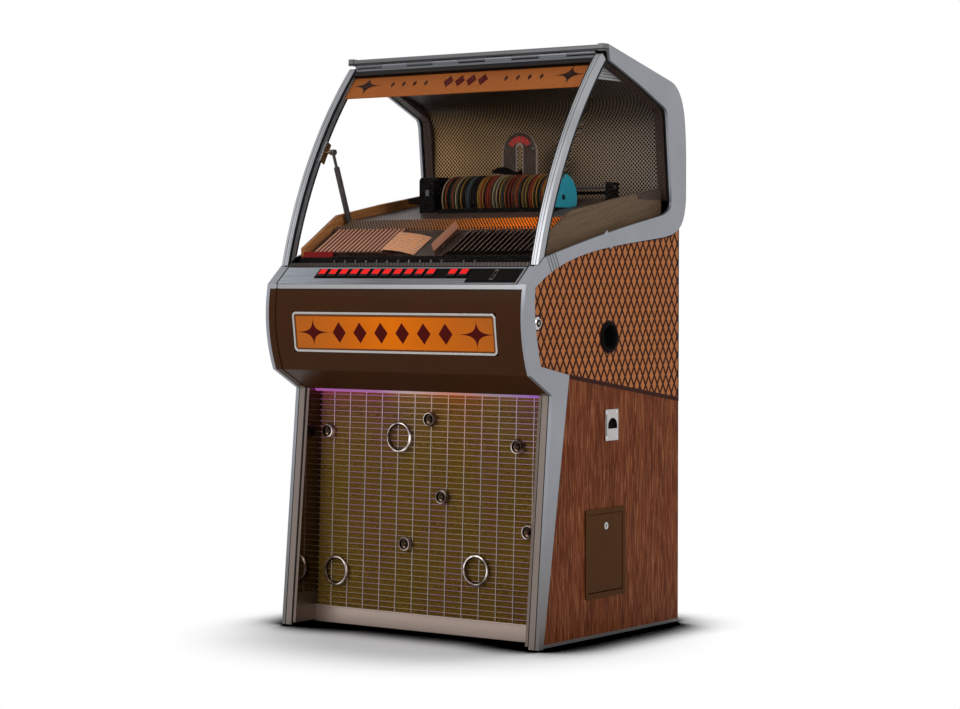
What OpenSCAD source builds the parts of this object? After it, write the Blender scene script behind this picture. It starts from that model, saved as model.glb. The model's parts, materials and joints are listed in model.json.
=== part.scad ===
// Floor-standing CD jukebox with a lifting curved lid, a disc magazine and a wire grille.
// Millimetres, +Z up, front towards -Y, origin on the floor under the middle of the cabinet.

/* [Overall] */
// Width over the side mouldings
body_w = 800; // [740:5:880]
// Depth from the belly to the canopy's rear bulge
body_d = 720; // [700:5:760]
// Height to the top bar's end caps
body_h = 1460; // [1440:5:1500]

/* [Cabinet boards] */
// Thickness of the side boards and the base
board_t = 18; // [15:1:22]
// Thickness of the rear panel
rear_t = 12; // [9:1:15]
// Thickness of the bent roof sheet
roof_t = 6; // [4:1:9]
// Height of the glides under the base
glide_h = 4; // [3:1:10]
// Diameter of a glide
glide_d = 44; // [30:1:60]
// Rear overhang of the canopy behind the boards
canopy_overhang = 16.5; // [12:0.5:24]

/* [Side profile] */
// Setback of the toe from the belly
toe_set = 60; // [40:1:75]
// Setback of the knee's inner corner
knee_low_set = 118; // [105:1:125]
// Height of the knee's inner corner
knee_low_z = 606; // [580:1:615]
// Setback of the knee's outer corner
knee_high_set = 28; // [20:1:36]
// Height of the knee's outer corner
knee_high_z = 656; // [646:1:670]
// Bulge of the belly over its chord
belly_sag = 16.6; // [12:0.2:20]
// Setback of the shelf's lower edge
shelf_low_set = 8; // [6:0.5:12]
// Height of the shelf's lower edge
shelf_low_z = 872; // [866:1:878]
// Setback of the shelf's upper edge
shelf_high_set = 57; // [52:1:62]
// Height of the shelf's upper edge
shelf_high_z = 915; // [908:1:922]

/* [Side mouldings] */
// How far a moulding stands proud of the side board
moulding_t = 12; // [8:1:16]
// How far a moulding stands in front of the board's edge
wrap = 6; // [4:0.5:9]
// Rise of the window sill from front to rear
sill_rise = 109; // [95:1:120]
// Width of the moulding below the window at its rear
band_rear_w = 55; // [45:1:62]
// Height of the strip along the floor
floor_trim_h = 8; // [6:1:14]
// Thickness of the strip along the floor
floor_trim_t = 3; // [2:0.5:5]
// Depth of a decorative groove across the moulding
rib_groove_d = 2; // [1:0.5:4]

/* [Lattice] */
// Width of one diamond
diamond_w = 27.2; // [24:0.2:34]
// Height of one diamond
diamond_h = 47.6; // [42:0.2:60]
// Width of a strand, measured level
strand_w = 5.5; // [3:0.5:8]
// Thickness of the lattice
lattice_t = 1; // [0.8:0.1:3]
// Drop of the lattice's lower edge towards the rear
lattice_drop = 76; // [50:1:90]
// Width of the bead under the lattice
bead_w = 7; // [5:0.5:12]

/* [Lid] */
// Bulge of the lid over its chord
lid_sag = 36; // [30:1:42]
// Depth of a pillar, square to the arc
pillar_d = 25; // [20:1:30]
// Width of a pillar
pillar_w = 24; // [20:1:24]
// Thickness of the lid glass
glass_t = 5; // [4:0.5:6]
// Height of the header panel along the arc
header_h = 70; // [50:1:90]
// Thickness of the header panel
header_t = 2.5; // [2:0.5:4]
// Radius of a hinge knuckle
knuckle_r = 4.5; // [4:0.1:5]
// Radius of the hinge pin
hinge_pin_r = 2; // [1.5:0.1:2.5]

/* [Gas strut] */
// Outer diameter of the strut tube
strut_d = 15; // [12:0.5:16]
// Diameter of the strut rod
strut_rod_d = 8; // [6:0.5:9]
// Length of the rod that shows with the lid shut, with its eye
strut_rod_show = 40.5; // [38:0.5:60]
// Width of the strut's end eyes
strut_eye_w = 14; // [10:0.5:16]

/* [Buttons] */
// Side of a selection button
button_a = 27; // [22:0.5:29]
// Distance between buttons
button_pitch = 34; // [32:0.5:34]
// Distance of the two page buttons behind the last key
page_button_gap = 66; // [60:1:66]
// How far a button stands proud
button_proud = 3.5; // [3:0.5:6]
// Travel of a button
button_travel = 3; // [2:0.5:3]

/* [Grille] */
// Setback of the grille behind the toe
grille_set = 85; // [70:1:95]
// Width of the strip between a side board and the grille
grille_rim = 12; // [8:1:24]
// Diameter of a grille wire
wire_d = 2.4; // [2:0.1:3]
// Distance between the level wires
wire_pitch = 14; // [12:0.5:20]
// Distance between the upright wires
upright_pitch = 52; // [40:1:70]
// Height of the kick plate
kick_h = 46; // [35:1:60]
// Outer diameter of a large ring
ring_d = 78; // [60:1:90]
// Outer diameter of a small ring
small_ring_d = 38; // [30:1:44]
// Thickness of a large ring's bar
ring_bar_d = 9; // [7:0.5:12]

/* [Sign] */
// Width of the lit sign over its bezel
sign_w = 630; // [500:1:660]
// Height of the lit sign over its bezel
sign_h = 101; // [80:1:110]
// Width of the bezel's strip
bezel_w = 6; // [4:0.5:9]

/* [Disc magazine] */
// Diameter of a disc
disc_d = 120; // [120:1:121]
// Thickness of a disc
disc_t = 1.2; // [1:0.1:1.6]
// Distance between discs
disc_pitch = 5.4; // [4.6:0.1:6]
// Number of discs
disc_count = 64; // [40:1:64]
// Width of the player's arch plate
arch_w = 110; // [90:1:120]
// Diameter of a guide rail
rail_d = 8; // [6:0.5:9]

/* [Pages] */
// Width of a title card
card_w = 32; // [24:1:33]
// Thickness of a title card
card_t = 1.2; // [0.8:0.1:1.6]
// Number of cards on each side
card_count = 16; // [8:1:16]

/* [Side fittings] */
// Outer diameter of a hand cup
cup_d = 75; // [66:1:84]
// Depth of a hand cup
cup_depth = 30; // [24:1:34]
// Width of the coin return plate
coin_plate_w = 57.4; // [54:0.2:64]
// Height of the coin return plate
coin_plate_h = 77; // [70:1:84]
// Width of the cash door's frame
door_frame_w = 176; // [160:1:190]
// Height of the cash door's frame
door_frame_h = 218; // [200:1:230]
// Width of the frame's strip
door_strip = 12; // [10:0.5:15]
// Diameter of the side lock's rosette
rosette_d = 31; // [26:1:36]

/* [Hidden] */
$fn = 48;
arc_fn = 240;
fit_gap = 0.3;
running_gap = 0.05;

// Layers across the width, as distances from the middle plane
half_w = body_w / 2;
board_out = half_w - moulding_t;
board_in = board_out - board_t;
cheek_t = 12;
cheek_in = board_in - cheek_t;
inner_half = board_in - fit_gap;
deck_half = cheek_in - fit_gap;
grille_half_w = board_in - grille_rim;
window_t = 5;
pillar_out = half_w - 2;
pillar_in = pillar_out - pillar_w;

// Side profile, as [y, z]
front = -body_d / 2;
back = body_d / 2;
board_back = back - canopy_overhang;
toe = [front + toe_set, glide_h];
knee_low = [front + knee_low_set, knee_low_z];
knee_high = [front + knee_high_set, knee_high_z];
shelf_low = [front + shelf_low_set, shelf_low_z];
shelf_high = [front + shelf_high_set, shelf_high_z];
sill_front = shelf_high + [24, 19];
sill_rear = [back - 124, sill_front.y + sill_rise];
wrap_shift = [wrap, 0];

// A quadratic and a cubic curve through their control points, and an arc over a chord
curve_steps = 10;
function bend(a, b, c) = [for (i = [0:curve_steps]) let (t = i / curve_steps)
    (1 - t) * (1 - t) * a + 2 * t * (1 - t) * b + t * t * c];
function sweep(a, b, c, d) = [for (i = [0:curve_steps]) let (t = i / curve_steps, s = 1 - t)
    s * s * s * a + 3 * s * s * t * b + 3 * s * t * t * c + t * t * t * d];
function flip(list) = [for (i = [len(list) - 1:-1:0]) list[i]];
function turn(v, angle) = [v.x * cos(angle) - v.y * sin(angle), v.x * sin(angle) + v.y * cos(angle)];
function chord_r(a, b, sag) = (norm(b - a) * norm(b - a) / 4 + sag * sag) / (2 * sag);
function chord_centre(a, b, sag) = (a + b) / 2
    + [(b - a).y, -(b - a).x] / norm(b - a) * (chord_r(a, b, sag) - sag);
function heading(v) = atan2(v.y, v.x);

// Belly of the fascia
belly_r = chord_r(knee_high, shelf_low, belly_sag);
belly_c = chord_centre(knee_high, shelf_low, belly_sag);
belly_a0 = heading(shelf_low - belly_c);
belly_a1 = heading(knee_high - belly_c) + 360;
belly = [for (i = [0:curve_steps])
    belly_c + belly_r * turn([1, 0], belly_a1 + (belly_a0 - belly_a1) * i / curve_steps)];

// The two edges of the moulding that sweeps back under the window
band_front = shelf_low + [38, -8];
band_rear = sill_rear - [0, band_rear_w];
band_low = sweep(band_front, band_front + 130 * [1, 0.68], band_rear - 230 * [1, 0.105], band_rear);
band_high = bend(sill_front, sill_front + 239 * [1, 0.254], sill_rear);
band_mid = (band_low + band_high) / 2;
knee_in = knee_high + [41, 21];
spear_in = knee_low + [71, 48];
spear_foot = toe + [20, 0];
lattice_front = bend(band_front, [band_front.x - 8, (band_front.y + knee_in.y) / 2 + 12], knee_in);

// Canopy hoop, outside and round the window, and the outline of the lattice below it
hinge_set = 338;
roof_inset = 3;
canopy_h = body_h - sill_rear.y;
function canopy_z(share) = body_h - share * canopy_h;
hoop_front = [front + hinge_set + 19, body_h];
hoop_corner = sweep([back, sill_rear.y + 47], [back - 8, sill_rear.y - 33], [back - 40, sill_rear.y - 45],
    band_rear);
hoop_outside = concat([hoop_front],
    bend([back - 75, canopy_z(0.1775)], [back - 22, canopy_z(0.211)], [back - 8, canopy_z(0.391)]),
    bend([back - 8, canopy_z(0.391)], [back, canopy_z(0.5156)], [back, canopy_z(0.6715)]));
hoop_inside = concat(
    bend(sill_rear, [back - 66, sill_rear.y + 11], [back - 69, sill_rear.y + 42]),
    bend([back - 89, canopy_z(0.403)], [back - 92, canopy_z(0.355)], [back - 103, canopy_z(0.3405)]),
    [[back - 220, canopy_z(0.2182)], [hoop_front.x + 8, canopy_z(0.096)]]);

lattice_low_rear = [board_back, spear_in.y - lattice_drop];
lattice_corner = [for (p = flip(hoop_corner)) if (p.x < board_back - 1) p];
lattice_edge = concat(flip(lattice_front), [for (i = [1:curve_steps]) band_low[i]],
    [for (i = [1:len(lattice_corner) - 1]) lattice_corner[i]],
    [[board_back, lattice_corner[len(lattice_corner) - 1].y], lattice_low_rear, spear_in]);

// Lid, its hinge line and its arc
hinge = [front + hinge_set, body_h - 21];
lid_foot = shelf_high + [2, 1];
lid_r = chord_r(lid_foot, hinge, lid_sag);
lid_c = chord_centre(lid_foot, hinge, lid_sag);
lid_foot_a = heading(lid_foot - lid_c);
lid_top_a = heading(hinge - lid_c);
lid_gap_l = 6;
lid_end_a = lid_top_a + lid_gap_l / lid_r * 180 / PI;
lid_rail_l = 10;
lid_rail_low_a = lid_foot_a - lid_rail_l / lid_r * 180 / PI;
lid_rail_top_a = lid_end_a + 2.5 * lid_rail_l / lid_r * 180 / PI;
glass_out_r = lid_r - 8;
glass_in_r = glass_out_r - glass_t;
header_a = lid_rail_top_a + header_h / lid_r * 180 / PI;
knuckle_count = 9;
knuckle_l = 2 * pillar_in / knuckle_count;

// Gas strut on the left
strut_x = -(cheek_in - 12);
strut_ball_l = 267.88;
strut_ball_in = 24.28;
strut_ball = lid_c + (lid_r - strut_ball_in) * turn([1, 0], lid_top_a + strut_ball_l / lid_r * 180 / PI);
strut_pivot = [strut_ball.x + 133, strut_ball.y - 364];
strut_l = norm(strut_ball - strut_pivot);
strut_a = heading(strut_ball - strut_pivot);
strut_tube_l = strut_l - strut_rod_show;
strut_pin_r = 4;

// Grille plane
grille_foot = toe.x + grille_set;
grille_tilt = 1.96;
grille_top = knee_low.y + 4;
baffle_front = 4.4;
reveal_t = 2;

// Inside deck
bed_front = [front + 105, shelf_high_z + 25];
bed_rear = [front + 210, shelf_high_z + 87];
ledge_front = bed_rear + [2, 5];
ledge_rear = bed_rear + [60, 32];
deck_rear = [back - 70, ledge_rear.y + 59];
deck_t = 12;
bed_a = heading(bed_rear - bed_front);
ledge_a = heading(ledge_rear - ledge_front);
deck_a = heading(deck_rear - ledge_rear);
function deck_z(y) = ledge_rear.y + (y - ledge_rear.x) * tan(deck_a);

// Disc magazine
disc_y = deck_rear.x - 185;
disc_z = deck_z(disc_y) + 27;
disc_first_x = -148;
disc_last_x = disc_first_x + (disc_count - 1) * disc_pitch;
disc_hole_d = 15;
tray_half = disc_d / 2 + 5;
tray_x0 = disc_first_x - 12;
tray_x1 = disc_last_x + 12;
tray_low = disc_z - disc_d / 2 - 5;
tray_high = disc_z - disc_d / 2 + 34;
rail_y = disc_y + tray_half + 28;
rail_z = deck_z(rail_y) + 26;
rail_x0 = tray_x0 - 45;
rail_x1 = tray_x1 + 70;
rail_gap = 26;
screw_y = rail_y + rail_gap / 2;
screw_z = rail_z + 14;
carriage_x = 5;
arch_y = disc_y + tray_half + 8;
arch_t = 4;
arch_top = disc_z + 173;
arch_slot_w = 18;
arm_pivot = [arch_y + 20, disc_z + disc_d / 2 + 10];
arm_t = 5;

// Buttons along the shelf
shelf_a = heading(shelf_high - shelf_low);
shelf_l = norm(shelf_high - shelf_low);
shelf_t = 12;
shelf_edge = 2;
button_first_x = -243.5;
button_mid = 39.5;
button_hole = button_a + 2 * fit_gap;
key_count = 11;
page_button_x = button_first_x + (key_count - 1) * button_pitch + page_button_gap;
key_plate_x0 = button_first_x - button_a / 2 - 6;
key_plate_x1 = page_button_x + button_pitch + button_a / 2 + 5;
key_plate_h = button_a + 8;
coin_panel_x1 = board_in - 6;
coin_panel_y0 = 7;

// Side fittings on the right
cup_at = [front + 378.6, 741.4];
lock_at = [front + 69, 780];
coin_at = [front + 389, 524.5];
door_at = [front + 361, 211];
arch_open_w = 41;
pocket_w = 46;
pocket_depth = 34;
pocket_low = coin_at.y - 12;
pocket_high = coin_at.y + 26;
flap_axis_x = board_out - 3.5;
flap_axis_z = pocket_high - 4;
flap_pin_r = 1.5;
door_w = door_frame_w - 2 * door_strip - 3;
door_h = door_frame_h - 2 * door_strip - 3;
door_t = 5;
door_out = board_out + 3;
door_axis_x = door_out - door_t / 2;
door_axis_z = door_at.y - door_h / 2 + 3.5;
door_pin_r = 2;
cash_lock_r = 7;
cash_lock_z = door_at.y + 66;
vault_x0 = board_in - 145;

// Mains inlet and amplifier on the left
inlet_at = [-board_in + 130, 60];
inlet_w = 48;
inlet_h = 28;
amp_x0 = -board_in + 50;

// Helpers: a profile in [y, z] spread along x, and local frames on the sloping planes
module across(x0, x1) translate([x0, 0, 0]) rotate([90, 0, 90]) linear_extrude(x1 - x0) children();
module both_sides() { children(); mirror([1, 0, 0]) children(); }
module along_x(x0, x1, r) translate([x0, 0, 0]) rotate([0, 90, 0]) cylinder(r = r, h = x1 - x0);
module along_y(y0, y1, r) translate([0, y0, 0]) rotate([-90, 0, 0]) cylinder(r = r, h = y1 - y0);
module at(p) translate([0, p.x, p.y]) children();
module on_grille() translate([0, grille_foot, 0]) rotate([-grille_tilt, 0, 0]) children();
module on_shelf() at(shelf_low) rotate([shelf_a, 0, 0]) children();
module on_bed() at(bed_front) rotate([bed_a, 0, 0]) children();
module box(x0, x1, y0, y1, z0, z1) translate([x0, y0, z0]) cube([x1 - x0, y1 - y0, z1 - z0]);
module round_rect(w, h, r) {
    square([w - 2 * r, h], center = true);
    square([w, h - 2 * r], center = true);
    for (x = [-1, 1], y = [-1, 1]) translate([x * (w / 2 - r), y * (h / 2 - r)]) circle(r);
}
module arc_band(c, r0, r1, a0, a1) translate(c) intersection() {
    difference() {
        circle(r1, $fn = arc_fn);
        circle(r0, $fn = arc_fn);
    }
    polygon([[0, 0], 2 * r1 * turn([1, 0], a0), 2 * r1 * turn([1, 0], (a0 + a1) / 2),
        2 * r1 * turn([1, 0], a1)]);
}

// Side outlines
module trim_outline() polygon(concat(hoop_outside, hoop_corner, flip(band_low), lattice_front,
    [spear_in, spear_foot, toe, knee_low], belly, [shelf_high], band_high, hoop_inside));
module board_outline() polygon(concat([toe + wrap_shift, knee_low + wrap_shift],
    [for (p = belly) p + wrap_shift], band_mid,
    [[board_back, sill_rear.y - 3], [board_back, glide_h]]));
module hoop_outline() polygon(concat(hoop_outside, hoop_corner,
    [[hoop_front.x, band_rear.y]]));
module window_opening() polygon(concat(band_high, hoop_inside, [lid_foot]));
module window_outline() {
    lap = 8;
    intersection() {
        union() for (shift = [[0, 0], [0, lap], [lap, 0], [0, -lap]]) translate(shift) window_opening();
        translate(lid_c) circle(lid_r - pillar_d - 2, $fn = arc_fn);
    }
}

// Cabinet
module base_board() color("saddlebrown") {
    box(-board_in, board_in, grille_foot + 2, board_back - rear_t, glide_h, glide_h + board_t);
    for (x = [-1, 1], y = [grille_foot + glide_d, board_back - rear_t - glide_d])
        translate([x * (board_in - glide_d), y, 0]) cylinder(d = glide_d, h = glide_h);
}

// Each side is two boards, which meet behind the bead
module board_joint() {
    fall = [1, -lattice_drop / (lattice_low_rear.x - spear_in.x)];
    low = [0, bead_w / 2];
    a = spear_in - spear_in.x * fall + (front - wrap) * fall - low;
    b = lattice_low_rear + wrap * fall - low;
    polygon([a, b, b - [0, fit_gap], a - [0, fit_gap]]);
}

module cup_bore() across(board_in - 1, board_out + 1) translate(cup_at) circle(d = cup_d - 9);

module side_board_left() color("sienna") mirror([1, 0, 0]) difference() {
    across(board_in, board_out) difference() {
        board_outline();
        board_joint();
    }
    cup_bore();
}

module side_board_right() color("sienna") difference() {
    across(board_in, board_out) difference() {
        board_outline();
        board_joint();
    }
    cup_bore();
    across(board_in - 1, board_out + 1) {
        translate(lock_at) circle(d = rosette_d - 9);
        translate([coin_at.x, (pocket_low + pocket_high) / 2])
            square([pocket_w + 2 * fit_gap, pocket_high - pocket_low + 2 * fit_gap], center = true);
        translate(door_at) square([door_frame_w - 4 + 2 * fit_gap, door_frame_h - 4 + 2 * fit_gap],
            center = true);
    }
}

// Lattice: a sheet with diamond holes, each cut back to leave a rim along the outline and round the fittings
lattice_lines = [for (i = [0:len(lattice_edge) - 1])
    let (a = lattice_edge[i], b = lattice_edge[(i + 1) % len(lattice_edge)])
    [a, b, [(b - a).y, -(b - a).x] / norm(b - a)]];
function sum_up(list) = list * [for (v = list) 1];
function area(points) = abs(sum_up([for (i = [0:len(points) - 1]) let (q = points[(i + 1) % len(points)])
    points[i].x * q.y - points[i].y * q.x])) / 2;
function crossing(p, a, b) = (a.y > p.y) != (b.y > p.y)
    && p.x < a.x + (b.x - a.x) * (p.y - a.y) / (b.y - a.y) ? 1 : 0;
function inside(p) = sum_up([for (l = lattice_lines) crossing(p, l[0], l[1])]) % 2 == 1;
function span(p, a, b) = norm(p - a - (b - a) * min(1, max(0, (p - a) * (b - a) / ((b - a) * (b - a)))));
function near_cuts(p) = [for (l = lattice_lines) if (span(p, l[0], l[1]) < diamond_h / 2 + strand_w)
    [l[0], l[2]]];
function ring_cut(p, spot, r) = let (d = norm(p - spot))
    d > 1 && d < r + diamond_h / 2 + strand_w ? [[spot + (p - spot) / d * r, (p - spot) / d]] : [];
function cut_back(points, cut, rim) = [for (i = [0:len(points) - 1])
    let (p = points[i], q = points[(i + 1) % len(points)], dp = (p - cut[0]) * cut[1] - rim,
        dq = (q - cut[0]) * cut[1] - rim)
    each concat(dp >= 0 ? [p] : [], (dp >= 0) != (dq >= 0) ? [p + (q - p) * dp / (dp - dq)] : [])];
function cut_all(points, cuts, rim, i = 0) = i == len(cuts) || len(points) < 3 ? points
    : cut_all(cut_back(points, cuts[i], rim), cuts, rim, i + 1);

module lattice_plate() {
    least_hole = 14;
    half = [diamond_w - strand_w, (diamond_w - strand_w) * diamond_h / diamond_w] / 2;
    start = [front + 30, knee_low.y - 60];
    rows = ceil(2 * (sill_rear.y + 20 - start.y) / diamond_h);
    columns = ceil((board_back - start.x) / diamond_w);
    spots = [for (r = [0:rows], c = [0:columns])
        start + [(c + (r % 2) / 2) * diamond_w, r * diamond_h / 2]];
    holes = [for (s = spots) let (cuts = near_cuts(s)) if (len(cuts) > 0 || inside(s))
        cut_all([s + [half.x, 0], s + [0, half.y], s - [half.x, 0], s - [0, half.y]], concat(cuts,
            ring_cut(s, cup_at, cup_d / 2 + 1), ring_cut(s, lock_at, rosette_d / 2 + 1)), strand_w / 2)];
    across(board_out, board_out + lattice_t) difference() {
        polygon(lattice_edge);
        for (h = holes) if (len(h) > 2 && area(h) > least_hole) polygon(h);
        translate(cup_at) circle(d = cup_d + 1);
        translate(lock_at) circle(d = rosette_d + 1);
    }
    across(board_out, board_out + lattice_t) polygon([spear_in, lattice_low_rear,
        lattice_low_rear - [0, bead_w], spear_in - [0, bead_w]]);
}

module side_lattices() color("maroon") both_sides() lattice_plate();

module trim_wrap(x0, z0, z1) across(x0, board_out) intersection() {
    difference() {
        trim_outline();
        board_outline();
    }
    translate([front, z0]) square([knee_low_set + 20, z1 - z0]);
}

module side_trim() {
    across(board_out, half_w) trim_outline();
    trim_wrap(board_in, 0, shelf_low_z);
    trim_wrap(pillar_in + fit_gap, shelf_low_z - 1, shelf_high_z);
    box(board_out, board_out + floor_trim_t, spear_foot.x - 2, board_back, glide_h, glide_h + floor_trim_h);
    joint_a = 124;
    across(half_w - 1, half_w) translate((band_low[6] + band_high[6]) / 2) rotate(joint_a)
        square([band_rear_w - 8, 14], center = true);
}

module rib_grooves() {
    rib_step = [11, 3];
    first = (band_low[2] + band_high[1]) / 2 - [26, 8];
    for (i = [0:3]) across(half_w - rib_groove_d, half_w + 1) translate(first + i * rib_step)
        rotate(118) square([70, 3], center = true);
}

module side_trim_right() color("silver") difference() {
    side_trim();
    rib_grooves();
}

module side_trim_left() color("silver") mirror([1, 0, 0]) difference() {
    side_trim();
    rib_grooves();
}

module side_windows() color("lightcyan", 0.3) both_sides()
    across(board_out - window_t, board_out) window_outline();

module hoop_inset(d) translate([-d, -d]) hoop_outline();

module roof_panel() color("dimgray") across(-board_out, board_out) intersection() {
    difference() {
        hoop_inset(roof_inset);
        hoop_inset(roof_inset + roof_t);
    }
    translate([hoop_front.x, sill_rear.y + 3]) square([body_d, body_h]);
}

module rear_panel() color("dimgray") {
    vent_count = 12;
    vent_w = 140;
    difference() {
        box(-board_in, board_in, board_back - rear_t, board_back, glide_h, sill_rear.y + 2.7);
        for (i = [0:vent_count - 1], x = [-board_in / 2, board_in / 2])
            box(x - vent_w / 2, x + vent_w / 2, board_back - rear_t - 1, board_back + 1, 560 + 22 * i,
                568 + 22 * i);
        translate([inlet_at.x, board_back - rear_t / 2, inlet_at.y])
            cube([inlet_w + 2 * fit_gap, 2 * rear_t, inlet_h + 2 * fit_gap], center = true);
    }
}

module top_bar() color("silver") {
    bar_low = hinge.y + knuckle_r + 1;
    bar_high = body_h - 2;
    across(-half_w + 3, half_w - 3) difference() {
        translate([hinge.x - 4, bar_low]) square([hoop_front.x - hinge.x + 4, bar_high - bar_low]);
        translate([hinge.x - 4, bar_high]) rotate(45) square([6, 6], center = true);
    }
    for (x = [-half_w, half_w - 15])
        across(x, x + 15) translate([hinge.x - 6, bar_low - 2])
            square([hoop_front.x - hinge.x + 6, body_h - bar_low + 2]);
    at(hinge) {
        along_x(-pillar_in, pillar_in, hinge_pin_r);
        for (i = [0:2:knuckle_count - 1]) {
            x = -pillar_in + i * knuckle_l;
            along_x(x + fit_gap, x + knuckle_l - fit_gap, knuckle_r);
            box(x + fit_gap, x + knuckle_l - fit_gap, 0, knuckle_r, 0, knuckle_r + 2);
        }
    }
}

module backdrop() color("darkgoldenrod") {
    sheet_t = 2;
    line = concat([[deck_rear.x, deck_rear.y + fit_gap]],
        bend([deck_rear.x, body_h - 210], [deck_rear.x, body_h - 132], [deck_rear.x - 75, body_h - 108]),
        [[deck_rear.x - 190, body_h - 72]]);
    across(-deck_half, deck_half) polygon(concat(line, flip([for (p = line) p + sheet_t * [1, 1]])));
}

module deck_outline() polygon([
    bed_front + [-26, -26], bed_front + [-14, -2], bed_front, bed_rear, ledge_front,
    ledge_rear - [0, 6], ledge_rear, deck_rear, deck_rear - [0, deck_t],
    [ledge_rear.x, ledge_rear.y - deck_t - 6], [bed_rear.x + 8, bed_rear.y - deck_t],
    bed_front - [-4, deck_t], bed_front + [-14, -28]]);

module ledge_ribs() {
    rib_pitch = 9;
    rib_h = 2.5;
    pad = 3;
    count = floor((2 * deck_half - 8) / rib_pitch);
    x0 = -count * rib_pitch / 2;
    teeth = [for (i = [0:count - 1]) let (x = x0 + i * rib_pitch)
        each [[x, pad], [x + 1, pad + rib_h], [x + 4, pad + rib_h], [x + 5, pad]]];
    ledge_l = norm(ledge_rear - ledge_front);
    at(ledge_front) rotate([ledge_a + 90, 0, 0]) translate([0, 0, 6 - ledge_l])
        linear_extrude(ledge_l - 8)
            polygon(concat([[x0, 0]], teeth, [[-x0, pad], [-x0, 0]]));
}

module deck() color("saddlebrown") difference() {
    union() {
        across(-deck_half, deck_half) deck_outline();
        ledge_ribs();
    }
    box(tray_x0 - fit_gap, tray_x1 + fit_gap, disc_y - tray_half - fit_gap, disc_y + tray_half + fit_gap,
        0, body_h);
    strut_y = strut_pivot.x + (ledge_rear.y - strut_pivot.y) / tan(strut_a);
    box(-half_w, strut_x + strut_d / 2 + 3, strut_y - 40, strut_y + 26, 0, body_h);
}

module cheek() {
    across(cheek_in, board_in) polygon([
        [bed_front.x - 2, shelf_low_z - 60], [bed_front.x - 2, shelf_high_z + 48], bed_rear + [30, 47],
        [ledge_rear.x + 160, deck_z(ledge_rear.x + 160) + 24], [deck_rear.x - 22, deck_rear.y + 20],
        [deck_rear.x - 4, deck_rear.y + 20], [deck_rear.x - 4, shelf_low_z - 60]]);
}

module hoop_lining() across(cheek_in, board_out - window_t - fit_gap) difference() {
    intersection() {
        hoop_inset(roof_inset + roof_t + fit_gap);
        translate([hoop_front.x + 10, sill_rear.y + 42]) square([body_d, body_h]);
    }
    window_opening();
}

module inner_cheeks() color("peru") {
    both_sides() cheek();
    both_sides() hoop_lining();
    boss_end = strut_x - max(strut_eye_w, strut_d) / 2 - fit_gap;
    at(strut_pivot) along_x(-cheek_in - 1, strut_x + strut_eye_w / 2 + 4, strut_pin_r);
    at(strut_pivot) along_x(-cheek_in - 1, boss_end, strut_d / 2 + 2);
}

module fascia() color("saddlebrown") difference() {
    panel_t = 15;
    set = 3;
    union() {
        across(-inner_half, inner_half) {
            arc_band(belly_c, belly_r - set - panel_t, belly_r - set, belly_a0, belly_a1);
            polygon([knee_high + [set, 0], knee_low + [set, 0], knee_low + [set, 6],
                [grille_foot + tan(grille_tilt) * knee_low.y - 4, knee_low.y + 6],
                [grille_foot + tan(grille_tilt) * knee_low.y - 4, knee_low.y + 20],
                knee_low + [set + 8, 20], knee_high + [set + panel_t + 4, 12], knee_high + [set + 1, 12]]);
        }
    }
    on_sign() box(-sign_w / 2 - fit_gap, sign_w / 2 + fit_gap, -60, 60, -sign_h / 2 - fit_gap,
        sign_h / 2 + fit_gap);
    on_shelf() box(-half_w, half_w, shelf_edge - fit_gap, 2 * shelf_l, -2 * shelf_l, shelf_l);
}

sign_mid_z = knee_high_z + 96;
sign_a = asin((sign_mid_z - belly_c.y) / belly_r);
sign_sink = 5;
module on_sign() at(belly_c) rotate([-sign_a, 0, 0]) translate([0, sign_sink - belly_r, 0]) children();
module facing(y0, y1) translate([0, y1, 0]) rotate([90, 0, 0]) linear_extrude(y1 - y0) children();

module sign_bezel() color("silver") on_sign() facing(-1, 12) difference() {
    round_rect(sign_w, sign_h, 12);
    round_rect(sign_w - 2 * bezel_w, sign_h - 2 * bezel_w, 12 - bezel_w);
}

module sign_window() color("orange") on_sign() facing(1, 5)
    round_rect(sign_w - 2 * bezel_w, sign_h - 2 * bezel_w, 12 - bezel_w);

module control_outline(grow) {
    translate([key_plate_x0 - grow, button_mid - key_plate_h / 2 - grow])
        square([key_plate_x1 - key_plate_x0 + 2 * grow, key_plate_h + 2 * grow]);
    translate([key_plate_x1 - 1 - grow, coin_panel_y0 - grow])
        square([coin_panel_x1 - key_plate_x1 + 1 + 2 * grow,
            button_mid + key_plate_h / 2 - coin_panel_y0 + 2 * grow]);
}

button_names = ["button_1", "button_2", "button_3", "button_4", "button_5", "button_6", "button_7",
    "button_8", "button_9", "button_0", "button_c", "button_left", "button_right"];
function button_x(i) = i < key_count ? button_first_x + i * button_pitch
    : page_button_x + (i - key_count) * button_pitch;

module button_shelf() color("silver") on_shelf() difference() {
    union() {
        box(-inner_half, inner_half, shelf_edge, shelf_l - shelf_edge, -shelf_t, 0);
        box(-inner_half, inner_half, shelf_edge, 12, -shelf_t - 14, -shelf_t);
    }
    translate([0, 0, -shelf_t - 1]) linear_extrude(shelf_t + 2) control_outline(fit_gap);
}

module control_plates() color("black") {
    coin_slot_x = (key_plate_x1 + coin_panel_x1) / 2;
    on_shelf() translate([0, 0, -shelf_t]) linear_extrude(shelf_t + 0.5) difference() {
        control_outline(0);
        for (i = [0:len(button_names) - 1])
            translate([button_x(i), button_mid]) square(button_hole, center = true);
        translate([coin_slot_x, button_mid - 6]) square([3.4, 30], center = true);
    }
    across(-deck_half, deck_half) polygon([
        bed_front + [-26.3, -26], bed_front + [-14.3, -1.7], bed_front + [-14.3, 1.3],
        bed_front + [-16.8, -1.7], bed_front + [-29.3, -26]]);
    at(bed_front) box(-deck_half + 8, -deck_half + 98, -15.5, -6.5, -0.4, 13);
}

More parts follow.
